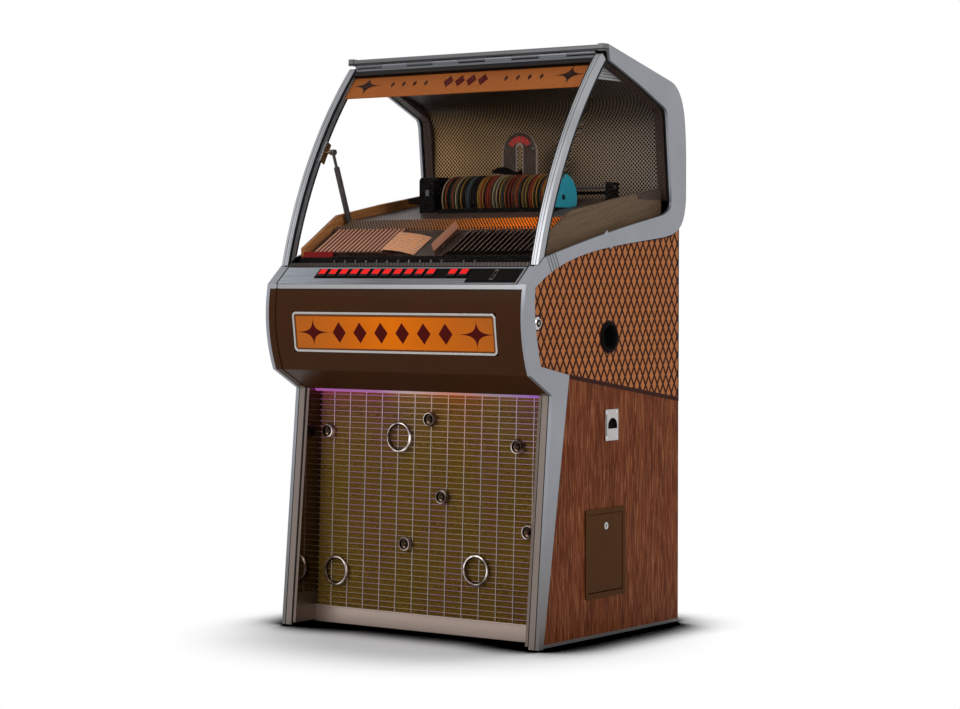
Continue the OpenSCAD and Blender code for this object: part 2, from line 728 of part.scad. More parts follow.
module button(i) color("red") on_shelf() translate([button_x(i), button_mid, button_proud - 12])
    difference() {
        linear_extrude(12) round_rect(button_a, button_a, 3);
        translate([0, 0, -1]) linear_extrude(9) square(button_a - 4, center = true);
    }

// Grille
module grille_side() {
    line = [toe + [3, 6], knee_low + [3, 0]];
    floor_z = glide_h + board_t + fit_gap;
    across(grille_half_w, grille_half_w + reveal_t) polygon([line[0], line[1],
        [grille_foot + tan(grille_tilt) * knee_low.y + baffle_front + board_t, knee_low.y],
        [grille_foot + baffle_front + board_t, floor_z], [grille_foot, floor_z],
        [grille_foot, line[0].y]]);
    across(grille_half_w, board_in - 4) polygon([line[0], line[1], line[1] + [reveal_t, 0],
        line[0] + [reveal_t, 0]]);
}

module grille_frame() color("silver") {
    both_sides() grille_side();
    kick_top = glide_h + kick_h;
    box(-grille_half_w, grille_half_w, grille_foot - 2, grille_foot + 2 - fit_gap, glide_h + 2, kick_top);
    box(-grille_half_w, grille_half_w, grille_foot - 12, grille_foot - 1, kick_top - reveal_t, kick_top);
}

driver_x = grille_half_w / 2;
driver_spots = [for (x = [-driver_x, driver_x], s = [[230, 125], [470, 82]]) [x, s[0], s[1]]];
module grille_baffle() color("darkkhaki") on_grille() difference() {
    box(-grille_half_w + fit_gap, grille_half_w - fit_gap, baffle_front, baffle_front + board_t,
        glide_h + board_t + 1, grille_top - 1);
    for (s = driver_spots) translate([s[0], 0, s[1]]) along_y(0, 60, s[2] - 14);
}

module wire_grille() color("gray") on_grille() {
    back_y = baffle_front - fit_gap - wire_d / 2;
    low = glide_h + kick_h + fit_gap;
    high = grille_top - 2;
    uprights = floor((grille_half_w - 8) / upright_pitch);
    levels = floor((high - low - 8) / wire_pitch);
    for (i = [-uprights:uprights]) translate([i * upright_pitch, back_y, low])
        cylinder(d = wire_d, h = high - low, $fn = 16);
    for (i = [0:levels]) translate([0, back_y - wire_d - 0.1, low + 8 + i * wire_pitch])
        along_x(-grille_half_w + 0.1, grille_half_w - 0.1, wire_d / 2, $fn = 16);
}

function ring_spot(share, z) = [share * grille_half_w, z];
large_rings = [ring_spot(-0.263, 488), ring_spot(-0.81, 140), ring_spot(0.425, 170)];
small_rings = [ring_spot(-0.9, 496), ring_spot(0.006, 536), ring_spot(0.757, 478), ring_spot(0.126, 345),
    ring_spot(0.86, 273), ring_spot(-0.187, 222)];
module grille_rings() color("silver") on_grille() {
    wire_front = baffle_front - fit_gap - 2 * wire_d - 0.1;
    seat = wire_front - fit_gap;
    for (p = large_rings) translate([p.x, seat - ring_bar_d / 2, p.y]) rotate([90, 0, 0])
        rotate_extrude() translate([ring_d / 2 - ring_bar_d / 2, 0]) circle(d = ring_bar_d);
    for (p = small_rings) translate([p.x, seat, p.y]) rotate([90, 0, 0]) rotate_extrude() polygon([
        [0, 0], [small_ring_d / 2, 0], [small_ring_d / 2, 5], [small_ring_d / 2 - 3, 12],
        [small_ring_d / 2 - 6, 12], [small_ring_d / 2 - 7, 6], [6, 4], [6, 9], [4, 11], [0, 11]]);
}

module light_strip() color("plum") {
    strip = [grille_foot + tan(grille_tilt) * knee_low.y - 26, knee_low.y - 8];
    at(strip) across(-grille_half_w + 2, grille_half_w - 2) difference() {
        square([16, 14 - fit_gap]);
        rotate(45) square(7, center = true);
    }
}

module driver(r) rotate([-90, 0, 0]) rotate_extrude() polygon([
    [0, 30], [18, 38], [r - 24, 2], [r - 16, 0], [r, 0], [r, 5], [r - 10, 8], [r * 0.5, 56], [r * 0.42, 58],
    [r * 0.42, 84], [0, 84]]);

module woofers() color("dimgray") on_grille() for (s = driver_spots)
    translate([s[0], baffle_front + board_t + fit_gap, s[1]]) driver(s[2]);

module amplifier() color("dimgray") {
    amp_y0 = 90;
    floor_z = glide_h + board_t;
    fin_pitch = 21;
    box(amp_x0, amp_x0 + 190, amp_y0, amp_y0 + 150, floor_z, floor_z + 90);
    for (i = [0:8]) translate([amp_x0 + 8 + fin_pitch * i, 0, 0])
        box(0, 4, amp_y0 + 20, amp_y0 + 130, floor_z + 89, floor_z + 120);
    translate([inlet_at.x, board_back, inlet_at.y]) {
        box(-inlet_w / 2, inlet_w / 2, -rear_t - 8, 1, -inlet_h / 2, inlet_h / 2);
        difference() {
            box(-32, 32, 0, 3, -19, 19);
            box(-13, 13, 1.5, 4, -9, 9);
        }
    }
}

// Side fittings
module hand_cup() rotate([0, 90, 0]) rotate_extrude() polygon([
    [0, -cup_depth], [cup_d / 2 - 5, -cup_depth], [cup_d / 2 - 5, 0], [cup_d / 2, 0], [cup_d / 2 - 1, 4],
    [cup_d / 2 - 4, 6], [cup_d / 2 - 8, 4], [cup_d / 2 - 9, 0], [cup_d / 2 - 11, 3 - cup_depth],
    [0, 3 - cup_depth]]);

module hand_cups() color("black") both_sides() translate([board_out, cup_at.x, cup_at.y]) hand_cup();

module coin_plate() color("silver") difference() {
    union() {
        across(board_out, board_out + 3) translate(coin_at) round_rect(coin_plate_w, coin_plate_h, 3);
        across(board_out, board_out + 5) translate(coin_at)
            round_rect(coin_plate_w - 8, coin_plate_h - 24, 3);
        across(board_out - pocket_depth, board_out) translate([coin_at.x - pocket_w / 2, pocket_low])
            square([pocket_w, pocket_high - pocket_low]);
    }
    across(board_out - pocket_depth + 2, board_out) translate([coin_at.x - pocket_w / 2 + 2, pocket_low + 2])
        square([pocket_w - 4, pocket_high - pocket_low - 4]);
    across(board_out - 4, board_out + 6) intersection() {
        translate([coin_at.x, coin_at.y - 3]) circle(d = arch_open_w);
        translate([coin_at.x - arch_open_w / 2, coin_at.y - 9]) square([arch_open_w, 40]);
    }
    translate([flap_axis_x, coin_at.x, flap_axis_z])
        along_y(-pocket_w / 2 - 1, pocket_w / 2 + 1, flap_pin_r + running_gap);
}

module coin_flap() color("black") translate([flap_axis_x, coin_at.x, flap_axis_z]) {
    along_y(-pocket_w / 2, pocket_w / 2, flap_pin_r);
    flap_half = pocket_w / 2 - 2 - fit_gap;
    box(-flap_pin_r, 0.5, -flap_half, flap_half, pocket_low + 3 - flap_axis_z, 0);
}

module coin_mech() color("dimgray") {
    z0 = coin_at.y + 50;
    box(board_in - 130, board_in - 30, coin_at.x - 50, coin_at.x + 45, z0, z0 + 240);
    box(board_in - 31, board_in, coin_at.x - 40, coin_at.x + 30, z0 + 20, z0 + 40);
    box(board_in - 31, board_in, coin_at.x - 40, coin_at.x + 30, z0 + 215, z0 + 235);
}

module door_frame() color("saddlebrown") difference() {
    hole_w = door_frame_w - 2 * door_strip;
    hole_h = door_frame_h - 2 * door_strip;
    union() {
        across(board_out, board_out + 4) translate(door_at) round_rect(door_frame_w, door_frame_h, 6);
        across(vault_x0, board_out) translate(door_at)
            square([door_frame_w - 4, door_frame_h - 4], center = true);
    }
    across(board_in - 8, board_out + 5) translate(door_at) square([hole_w, hole_h], center = true);
    across(vault_x0 + 2, board_in - 7) translate(door_at)
        square([door_frame_w - 8, door_frame_h - 8], center = true);
    translate([door_axis_x, door_at.x, door_axis_z])
        along_y(-door_w / 2 - 6.5, door_w / 2 + 6.5, door_pin_r + running_gap);
}

module cash_door() color("saddlebrown") difference() {
    union() {
        across(door_out - door_t, door_out) translate(door_at)
            square([door_w, door_h], center = true);
        translate([door_axis_x, door_at.x, door_axis_z]) along_y(-door_w / 2 - 6, door_w / 2 + 6, door_pin_r);
    }
    across(door_out - door_t - 1, door_out + 1) translate([door_at.x, cash_lock_z])
        circle(cash_lock_r + running_gap);
    for (x = [door_out - door_t, door_out])
        translate([x, 0, door_at.y - door_h / 2]) rotate([0, 45, 0])
            cube([2.4, body_d, 2.4], center = true);
}

module cash_lock() color("silver") translate([0, door_at.x, cash_lock_z]) {
    along_x(board_in - 13, door_out + 2, cash_lock_r);
    along_x(door_out + 0.2, door_out + 2, cash_lock_r + 2);
    box(board_in - 13, board_in - 10, -34, 0, -cash_lock_r, cash_lock_r);
}

module cash_box() color("silver") {
    floor_z = door_at.y - door_frame_h / 2 + 4;
    x0 = vault_x0 + 4;
    x1 = board_in - 20;
    difference() {
        box(x0, x1, door_at.x - 64, door_at.x + 64, floor_z, floor_z + 110);
        box(x0 + 2, x1 - 2, door_at.x - 62, door_at.x + 62, floor_z + 2, floor_z + 120);
    }
}

module side_lock() color("silver") translate([board_out, lock_at.x, lock_at.y]) {
    barrel_r = rosette_d / 2 - 4.8;
    rotate([0, 90, 0]) rotate_extrude() polygon([
        [0, -board_t - 8], [barrel_r, -board_t - 8], [barrel_r, fit_gap], [rosette_d / 2, fit_gap],
        [rosette_d / 2, 3], [rosette_d / 2 - 4, 6], [0, 6]]);
    box(-board_t - 8, -board_t - 5, -6, 30, -6, 6);
}

// Magazine and player
module on_deck_block(x0, x1, y0, y1, top) across(x0, x1) polygon([[y0, deck_z(y0) + fit_gap],
    [y1, deck_z(y1) + fit_gap], [y1, top], [y0, top]]);

module disc_tray() color("black") {
    difference() {
        box(tray_x0, tray_x1, disc_y - tray_half, disc_y + tray_half, tray_low, tray_high);
        translate([0, disc_y, disc_z]) along_x(tray_x0 + 4, tray_x1 - 4, disc_d / 2 + fit_gap, $fn = 96);
    }
    for (x = [rail_x0, rail_x1 - 8]) difference() {
        on_deck_block(x, x + 8, rail_y - 12, rail_y + rail_gap + 12, screw_z + 12);
        translate([0, screw_y, screw_z]) along_x(x - 1, x + 9, 4 + running_gap);
    }
    for (y = [rail_y, rail_y + rail_gap]) translate([0, y, rail_z])
        along_x(rail_x0 + 1, rail_x1 - 1, rail_d / 2);
}

module discs() color("teal") for (i = [0:disc_count - 1])
    translate([disc_first_x + i * disc_pitch, disc_y, disc_z]) rotate([0, 90, 0]) difference() {
        cylinder(d = disc_d, h = disc_t, $fn = 96);
        translate([0, 0, -1]) cylinder(d = disc_hole_d, h = disc_t + 2);
    }

module drive_unit() color("black") {
    drive_w = 48;
    x0 = tray_x0 - 66;
    x1 = x0 + drive_w;
    round_r = 12;
    y0 = disc_y - 55;
    y1 = disc_y + 50;
    top = disc_z + 58;
    on_deck_block(x0, x1, y0, y1, top - round_r);
    box(x0, x1, y0 + round_r, y1 - round_r, top - round_r, top);
    for (y = [y0 + round_r, y1 - round_r]) at([y, top - round_r]) along_x(x0, x1, round_r);
}

module lead_screw() color("silver") translate([0, screw_y, screw_z]) {
    along_x(rail_x0 - 6, rail_x1 + 6, 4);
    along_x(rail_x0 - 12, rail_x0 - 5, 10);
}

module player_carriage() color("peru") {
    x0 = carriage_x - 40;
    x1 = carriage_x + 40;
    difference() {
        box(x0, x1, arch_y + arch_t - 1, rail_y + rail_gap + 12, rail_z - 10, screw_z + 12);
        for (y = [rail_y, rail_y + rail_gap]) translate([0, y, rail_z])
            along_x(x0 - 1, x1 + 1, rail_d / 2 + running_gap);
        translate([0, screw_y, screw_z]) along_x(x0 - 1, x1 + 1, 4 + running_gap);
    }
    translate([carriage_x, arch_y, 0]) facing(0, arch_t) difference() {
        union() {
            translate([-arch_w / 2, rail_z - 10]) square([arch_w, arch_top - arch_w / 2 - rail_z + 10]);
            translate([0, arch_top - arch_w / 2]) circle(d = arch_w, $fn = 96);
        }
        translate([-arch_slot_w / 2, screw_z + 20]) square([arch_slot_w, arch_top - 62 - screw_z]);
        translate([0, arch_top - 42]) circle(d = arch_slot_w);
    }
    difference() {
        for (x = [carriage_x - 12, carriage_x + 6])
            box(x, x + 6, arm_pivot.x - 8, arm_pivot.x + 8, screw_z + 11, arm_pivot.y + 8);
        at(arm_pivot) along_x(x0, x1, 3 + running_gap);
    }
}

module gripper_arm() color("black") {
    at(arm_pivot) along_x(carriage_x - 14, carriage_x + 14, 3);
    across(carriage_x - arm_t / 2, carriage_x + arm_t / 2) {
        translate([disc_y - 45, disc_z + disc_d / 2 + 3]) square([arm_pivot.x - disc_y + 45, 9]);
        translate(arm_pivot) circle(7);
        intersection() {
            translate([disc_y, disc_z - 20]) circle(r = 101, $fn = 96);
            translate([disc_y - 45, disc_z + disc_d / 2 + 3]) square([90, 60]);
        }
    }
}

// Title pages
module card(x, angle) on_bed() translate([x, 3, 0]) rotate([0, -angle, 0])
    translate([0, 0, fit_gap]) cube([card_w, norm(bed_rear - bed_front) - 8, card_t]);

left_first_x = -deck_half + 65.7;
left_pitch = 14;
right_first_x = 80;
right_pitch = 16;
page_lean = 25;
module page_stacks() color("peachpuff") for (i = [0:card_count - 1]) {
    mirror([1, 0, 0]) card(-left_first_x - i * left_pitch, page_lean);
    card(right_first_x + i * right_pitch, page_lean);
}

page_x = 58;
page_rod_r = 2;
module turning_page() color("peachpuff") on_bed() translate([page_x, 3, page_rod_r + fit_gap]) {
    l = norm(bed_rear - bed_front) - 8;
    rotate([-90, 0, 0]) cylinder(r = page_rod_r, h = l);
    translate([-card_t / 2, 0, 0]) cube([card_t, l, card_w - 1]);
}

// Lid
module lid_cut() {
    seat_gap = 1;
    slope = heading(sill_front - shelf_high);
    translate(shelf_high) rotate(slope) translate([-4 * pillar_d, seat_gap - body_d])
        square([body_d, body_d]);
}

module lid_frame() color("silver") {
    both_sides() across(pillar_in, pillar_out) difference() {
        arc_band(lid_c, lid_r - pillar_d, lid_r, lid_end_a, lid_foot_a + 1);
        lid_cut();
    }
    across(-pillar_in, pillar_in) {
        arc_band(lid_c, lid_r - 15, lid_r - 3, lid_rail_low_a, lid_foot_a);
        arc_band(lid_c, lid_r - pillar_d + 2, lid_r - 2, lid_end_a + 0.03, lid_rail_top_a);
    }
    for (i = [1:2:knuckle_count - 1]) {
        x = -pillar_in + i * knuckle_l;
        across(x + fit_gap, x + knuckle_l - fit_gap) translate(hinge) difference() {
            union() {
                circle(knuckle_r);
                rotate(lid_top_a - 180) translate([0, -lid_gap_l - 2]) square([knuckle_r - 1, lid_gap_l + 2]);
            }
            circle(hinge_pin_r + running_gap);
        }
    }
    strut_bracket();
}

module strut_bracket() {
    inner = strut_x - strut_eye_w / 2 - fit_gap;
    ball_a = heading(strut_ball - lid_c);
    across(-pillar_in, -pillar_in + 3)
        arc_band(lid_c, lid_r - pillar_d - 10, glass_in_r - 2, ball_a - 1.4, ball_a + 1.4);
    at(strut_ball) along_x(-pillar_in + 1, inner, strut_pin_r);
}

module lid_glass() color("lightcyan", 0.3) across(-pillar_in, pillar_in)
    arc_band(lid_c, glass_in_r, glass_out_r, lid_rail_top_a, lid_rail_low_a);

module header_panel() color("darkorange") across(-pillar_in + 1, pillar_in - 1)
    arc_band(lid_c, glass_in_r - fit_gap - header_t, glass_in_r - fit_gap, lid_rail_top_a, header_a);

// Gas strut, drawn along its own line from the lower pivot
module on_strut() translate([strut_x, strut_pivot.x, strut_pivot.y]) rotate([strut_a - 90, 0, 0]) children();

module strut_tube() color("black") on_strut() difference() {
    union() {
        along_x(-strut_eye_w / 2, strut_eye_w / 2, strut_d / 2 + 2);
        cylinder(d = strut_d, h = strut_tube_l);
    }
    translate([0, 0, 45]) cylinder(d = strut_d - 4, h = strut_tube_l - 55);
    translate([0, 0, 45]) cylinder(r = strut_rod_d / 2 + running_gap, h = strut_tube_l);
    along_x(-strut_eye_w, strut_eye_w, strut_pin_r + running_gap);
}

module strut_rod() color("silver") on_strut() {
    translate([0, 0, 60]) cylinder(d = strut_rod_d, h = strut_l - 60);
    translate([0, 0, 60]) cylinder(d = strut_d - 4.3, h = 10);
    translate([0, 0, strut_l]) along_x(-strut_eye_w / 2, strut_eye_w / 2, strut_d / 2);
}

base_board();
side_board_left();
side_board_right();
side_lattices();
side_trim_left();
side_trim_right();
side_windows();
roof_panel();
rear_panel();
top_bar();
backdrop();
deck();
inner_cheeks();
fascia();
sign_bezel();
sign_window();
button_shelf();
control_plates();
grille_frame();
grille_baffle();
wire_grille();
grille_rings();
light_strip();
woofers();
amplifier();
coin_plate();
coin_mech();
cash_box();
door_frame();
hand_cups();
disc_tray();
discs();
drive_unit();
page_stacks();
lead_screw();
player_carriage();
gripper_arm();
lid_frame();
lid_glass();
header_panel();
strut_tube();
strut_rod();
cash_door();
cash_lock();
side_lock();
coin_flap();
turning_page();
for (i = [0:len(button_names) - 1]) button(i);
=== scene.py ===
# %% [markdown]
# # A compact-disc jukebox
# The packed solids already have the jukebox's real sizes and joints. This lesson keeps them as a fixed
# frame and gives them finishes, softened edges and the small pieces that make the machine look used and lit.

# %% Load the solids
import json
import math

import bpy
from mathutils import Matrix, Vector

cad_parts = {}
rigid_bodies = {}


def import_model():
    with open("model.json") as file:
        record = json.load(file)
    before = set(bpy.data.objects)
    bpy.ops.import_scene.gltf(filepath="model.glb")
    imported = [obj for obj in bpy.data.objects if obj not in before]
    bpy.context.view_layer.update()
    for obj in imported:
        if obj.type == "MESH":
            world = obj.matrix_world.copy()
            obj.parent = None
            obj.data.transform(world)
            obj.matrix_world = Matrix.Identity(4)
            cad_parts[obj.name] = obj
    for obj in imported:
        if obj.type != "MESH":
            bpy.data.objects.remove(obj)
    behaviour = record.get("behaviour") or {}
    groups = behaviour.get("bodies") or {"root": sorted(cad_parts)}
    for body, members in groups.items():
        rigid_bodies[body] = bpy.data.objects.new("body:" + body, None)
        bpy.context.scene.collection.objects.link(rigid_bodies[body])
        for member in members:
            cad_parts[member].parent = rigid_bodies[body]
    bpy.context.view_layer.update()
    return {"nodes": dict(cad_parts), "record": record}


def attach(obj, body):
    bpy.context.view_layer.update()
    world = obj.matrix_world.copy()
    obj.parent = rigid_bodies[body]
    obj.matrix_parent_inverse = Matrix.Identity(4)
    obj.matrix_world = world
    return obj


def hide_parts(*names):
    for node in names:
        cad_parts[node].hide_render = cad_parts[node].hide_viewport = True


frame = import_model()
nodes = frame["nodes"]
scene = bpy.context.scene
body_of_node = {n: b for b, members in frame["record"]["behaviour"]["bodies"].items() for n in members}
keys = [n for n in nodes if n.startswith("button_") and n != "button_shelf"]

# %% [markdown]
# The camera stands where the photographer stood: to the right of the machine, a little above its middle,
# with a long lens. The numbers come from fitting straight edges and a disc of known size, so the render can
# be laid over the photograph.

# %% Camera
camera = bpy.data.objects.new("photo_camera", bpy.data.cameras.new("photo_camera"))
scene.collection.objects.link(camera)
camera.location = (3.82132, -5.19788, 0.89004)
camera.rotation_euler = (math.radians(90 - 1.759), 0, math.radians(36.266))
camera.data.sensor_fit = "HORIZONTAL"
camera.data.sensor_width = 36
camera.data.lens = 94.918
scene.camera = camera
print("camera lens:", round(camera.data.lens, 1))

# %% [markdown]
# Every finish is a small net of nodes. These helpers make one node, plug a value or another node's output into
# a socket, do sums, stretch or turn coordinates, add noise, and start a group that several finishes can share.

# %% Node helpers
def node(tree, kind, **settings):
    made = tree.nodes.new("ShaderNode" + kind)
    for key, value in settings.items():
        setattr(made, key, value)
    return made


def plug(tree, socket, value):
    if isinstance(value, bpy.types.NodeSocket):
        tree.links.new(value, socket)
    else:
        socket.default_value = value


def calc(tree, operation, *values):
    made = node(tree, "Math", operation=operation)
    for socket, value in zip(made.inputs, values):
        plug(tree, socket, value)
    return made.outputs[0]


def stretched(tree, vector, scale, turn=(0, 0, 0)):
    made = node(tree, "Mapping")
    plug(tree, made.inputs["Vector"], vector)
    made.inputs["Scale"].default_value = scale
    made.inputs["Rotation"].default_value = turn
    return made.outputs[0]


def noise(tree, vector, scale, detail=3.0, roughness=0.5, distortion=0.0):
    made = node(tree, "TexNoise")
    for label, value in {"Vector": vector, "Scale": scale, "Detail": detail, "Roughness": roughness,
                         "Distortion": distortion}.items():
        plug(tree, made.inputs[label], value)
    return made.outputs["Fac"]


def group(name, inputs, outputs):
    made = bpy.data.node_groups.new(name, "ShaderNodeTree")
    for label, kind, value in inputs:
        socket = made.interface.new_socket(label, in_out="INPUT", socket_type="NodeSocket" + kind)
        if value is not None:
            socket.default_value = value
    for label in outputs:
        made.interface.new_socket(label, in_out="OUTPUT", socket_type="NodeSocketFloat")
    return made, made.nodes.new("NodeGroupInput").outputs, made.nodes.new("NodeGroupOutput").inputs


print("node helpers:", [f.__name__ for f in (node, plug, calc, stretched, noise, group)])

# %% [markdown]
# Finishes share a few effects, each a node group: a mottle that breaks up a plain colour, a wood grain that runs
# along one direction, a sheet of round holes, and printed ornaments. Every pattern reads the object's own
# coordinates in metres, so it has a real size and stays put when a piece moves.

# %% Shared effects
mottle, given, result = group("mottle", [("Vector", "Vector", None), ("Scale", "Float", 30.0)], ["Cloud", "Speck"])
plug(mottle, result["Cloud"], noise(mottle, given["Vector"], given["Scale"], 5, 0.6))
plug(mottle, result["Speck"], noise(mottle, given["Vector"], calc(mottle, "MULTIPLY", given["Scale"], 14.0), 2))

grain, given, result = group("grain", [("Vector", "Vector", None), ("Scale", "Float", 1.0)], ["Tone", "Pore"])
broad = noise(grain, stretched(grain, given["Vector"], (38, 38, 2.2)), given["Scale"], 4, 0.55, 1.2)
fine = noise(grain, stretched(grain, given["Vector"], (420, 420, 9)), given["Scale"], 3, 0.6)
plug(grain, result["Tone"], calc(grain, "MULTIPLY_ADD", fine, 0.5, calc(grain, "MULTIPLY", broad, 0.5)))
plug(grain, result["Pore"], fine)

holes, given, result = group("holes", [("U", "Float", 0.0), ("V", "Float", 0.0), ("Pitch", "Float", 0.01),
                                       ("Radius", "Float", 0.35)], ["Hole"])
squares = []
for label in "UV":
    cell = calc(holes, "FRACT", calc(holes, "DIVIDE", given[label], given["Pitch"]))
    beside = calc(holes, "SUBTRACT", cell, 0.5)
    squares.append(calc(holes, "MULTIPLY", beside, beside))
far = calc(holes, "SQRT", calc(holes, "ADD", *squares))
plug(holes, result["Hole"], calc(holes, "LESS_THAN", far, given["Radius"]))

STAR_POWER = 0.4  # below 0.5 the star's sides curve in further
ornament, given, result = group("ornament", [("U", "Float", 0.0), ("V", "Float", 0.0), ("Wide", "Float", 0.03),
                                             ("High", "Float", 0.03)], ["Star", "Lozenge"])
shares = [calc(ornament, "DIVIDE", calc(ornament, "ABSOLUTE", given[place]), given[size])
          for place, size in (("U", "Wide"), ("V", "High"))]
bent = [calc(ornament, "POWER", share, STAR_POWER) for share in shares]
plug(ornament, result["Star"], calc(ornament, "LESS_THAN", calc(ornament, "ADD", *bent), 1.0))
plug(ornament, result["Lozenge"], calc(ornament, "LESS_THAN", calc(ornament, "ADD", *shares), 1.0))
print("shared effects:", [g.name for g in (mottle, grain, holes, ornament)])

# %% [markdown]
# A finish starts as one shader and the object's coordinates. Masks made from those coordinates say where a
# second tone begins, so one material can hold a moulding and its rubber seal, or a board and its coloured field.
# Painted maps could do this too, but a measured limit stays sharp at any distance.

# %% Measuring a surface
class Surface:
    """A material with its shader and the object's coordinates, split into x, y and z."""

    def __init__(self, name, metallic=0.0, gloss=0.05, roughness=0.5):
        self.material = bpy.data.materials.new(name)
        self.material.use_nodes = True
        self.tree = self.material.node_tree
        self.shader = self.tree.nodes["Principled BSDF"]
        self.set("Metallic", metallic)
        self.set("Specular IOR Level", gloss)
        self.set("Roughness", roughness)
        self.spot = node(self.tree, "TexCoord").outputs["Object"]
        self.x, self.y, self.z = self.split(self.spot)

    def set(self, socket, value):
        plug(self.tree, self.shader.inputs[socket], value)

    def split(self, vector):
        parts = node(self.tree, "SeparateXYZ")
        plug(self.tree, parts.inputs[0], vector)
        return parts.outputs

    def calc(self, operation, *values):
        return calc(self.tree, operation, *values)

    def scaled(self, value, factor, start=0.0):
        return self.calc("MULTIPLY_ADD", value, factor, start)

    def off(self, value, place):
        return self.calc("SUBTRACT", value, place)

    def size(self, value):
        return self.calc("ABSOLUTE", value)

    def part(self, value):
        return self.calc("FRACT", value)

    def span(self, a, b):
        """Length of the vector (a, b)."""
        return self.calc("SQRT", self.calc("ADD", self.calc("POWER", a, 2.0), self.calc("POWER", b, 2.0)))

    def above(self, value, limit):
        return self.calc("GREATER_THAN", value, limit)

    def below(self, value, limit):
        return self.calc("LESS_THAN", value, limit)

    def between(self, value, low, high):
        return self.both(self.above(value, low), self.below(value, high))

    def both(self, first, *others):
        for other in others:
            first = self.calc("MULTIPLY", first, other)
        return first

    def either(self, first, *others):
        for other in others:
            first = self.calc("MAXIMUM", first, other)
        return first

    def rise(self, value, low, high, curve="SMOOTHSTEP"):
        """Climbs from 0 at low to 1 at high."""
        made = node(self.tree, "MapRange", interpolation_type=curve)
        for label, given in {"Value": value, "From Min": low, "From Max": high}.items():
            plug(self.tree, made.inputs[label], given)
        return made.outputs[0]


print("measures:", [m for m in vars(Surface) if not m.startswith("_")])

# %% [markdown]
# On those masks a finish lays its colours over each other and adds noise, grain or relief. Many small parts are
# no more than a mottle of two tones, so one call makes such a finish and puts it on its solids.

# %% Starting a finish
class Finish(Surface):
    """A surface with colours, noise and relief."""

    def mix(self, share, first, second):
        made = node(self.tree, "Mix", data_type="RGBA")
        plug(self.tree, made.inputs["Factor"], share)
        for slot, colour in ((6, first), (7, second)):
            plug(self.tree, made.inputs[slot], (*colour, 1) if isinstance(colour, tuple) else colour)
        return made.outputs[2]

    def layers(self, colour, *coats):
        """Lays each (mask, colour) over what is below it."""
        for mask, coat in coats:
            colour = self.mix(mask, colour, coat)
        return colour

    def ramp(self, value, stops, interpolation="LINEAR"):
        made = node(self.tree, "ValToRGB")
        made.color_ramp.interpolation = interpolation
        elements = made.color_ramp.elements
        while len(elements) < len(stops):
            elements.new(0.5)
        for element, (place, colour) in zip(elements, stops):
            element.position = place
            element.color = (*colour, 1)
        plug(self.tree, made.inputs[0], value)
        return made.outputs[0]

    def noise(self, scale, detail):
        return noise(self.tree, stretched(self.tree, self.spot, scale), 1.0, detail)

    def use(self, which, **values):
        made = node(self.tree, "Group", node_tree=which)
        for key, value in values.items():
            plug(self.tree, made.inputs[key], value)
        return made.outputs

    def clouds(self, scale, stretch=(1, 1, 1)):
        return self.use(mottle, Vector=stretched(self.tree, self.spot, stretch), Scale=scale)

    def grained(self, turn=(0, 0, 0)):
        return self.use(grain, Vector=stretched(self.tree, self.spot, (1, 1, 1), turn))

    def bump(self, height, strength, distance=0.0004):
        made = node(self.tree, "Bump")
        for label, value in {"Strength": strength, "Distance": distance, "Height": height}.items():
            plug(self.tree, made.inputs[label], value)
        self.set("Normal", made.outputs[0])

    def mottled(self, first, second, scale, rough, speck=0.0):
        got = self.clouds(scale)
        colour = self.mix(got["Cloud"], first, second)
        self.set("Base Color", colour)
        self.set("Roughness", self.scaled(got["Cloud"], rough[1] - rough[0], rough[0]))
        if speck:
            self.bump(got["Speck"], speck)
        return colour


def dress(finish, *names):
    for name in names:
        solid = nodes[name]
        solid.data.materials.clear()
        solid.data.materials.append(finish.material)
    print(finish.material.name, "on", len(names), "solids")


def plain(name, tones, scale, rough, speck=0.0, metallic=0.0, gloss=0.05, on=()):
    """A finish that is only a mottle of two tones."""
    finish = Finish(name, metallic, gloss)
    finish.mottled(*tones, scale, rough, speck)
    dress(finish, *on)
    return finish


print("finish steps:", [m for m in vars(Finish) if not m.startswith("_")])

# %% [markdown]
# A product picture has a white surround. The world is white only for rays that come from the camera or from
# shiny and clear surfaces, so it doesn't flood the object with light.

# %% World
scene.view_settings.view_transform = "Standard"
world = bpy.data.worlds.new("studio")
scene.world = world
world.use_nodes = True
sky = world.node_tree
sky.nodes.clear()
seen = node(sky, "LightPath").outputs
direct = calc(sky, "MAXIMUM", seen["Is Camera Ray"], seen["Is Transmission Ray"])
dim = node(sky, "Background")
dim.inputs["Color"].default_value = (0.9, 0.95, 1.0, 1)
dim.inputs["Strength"].default_value = 0.42
bright = node(sky, "Background")
bright.inputs["Color"].default_value = (1, 1, 1, 1)
bright.inputs["Strength"].default_value = 1.0
surround = node(sky, "MixShader")
plug(sky, surround.inputs[0], calc(sky, "MAXIMUM", direct, seen["Is Glossy Ray"]))
plug(sky, surround.inputs[1], dim.outputs[0])
plug(sky, surround.inputs[2], bright.outputs[0])
plug(sky, node(sky, "OutputWorld").inputs["Surface"], surround.outputs[0])
print("world:", world.name)
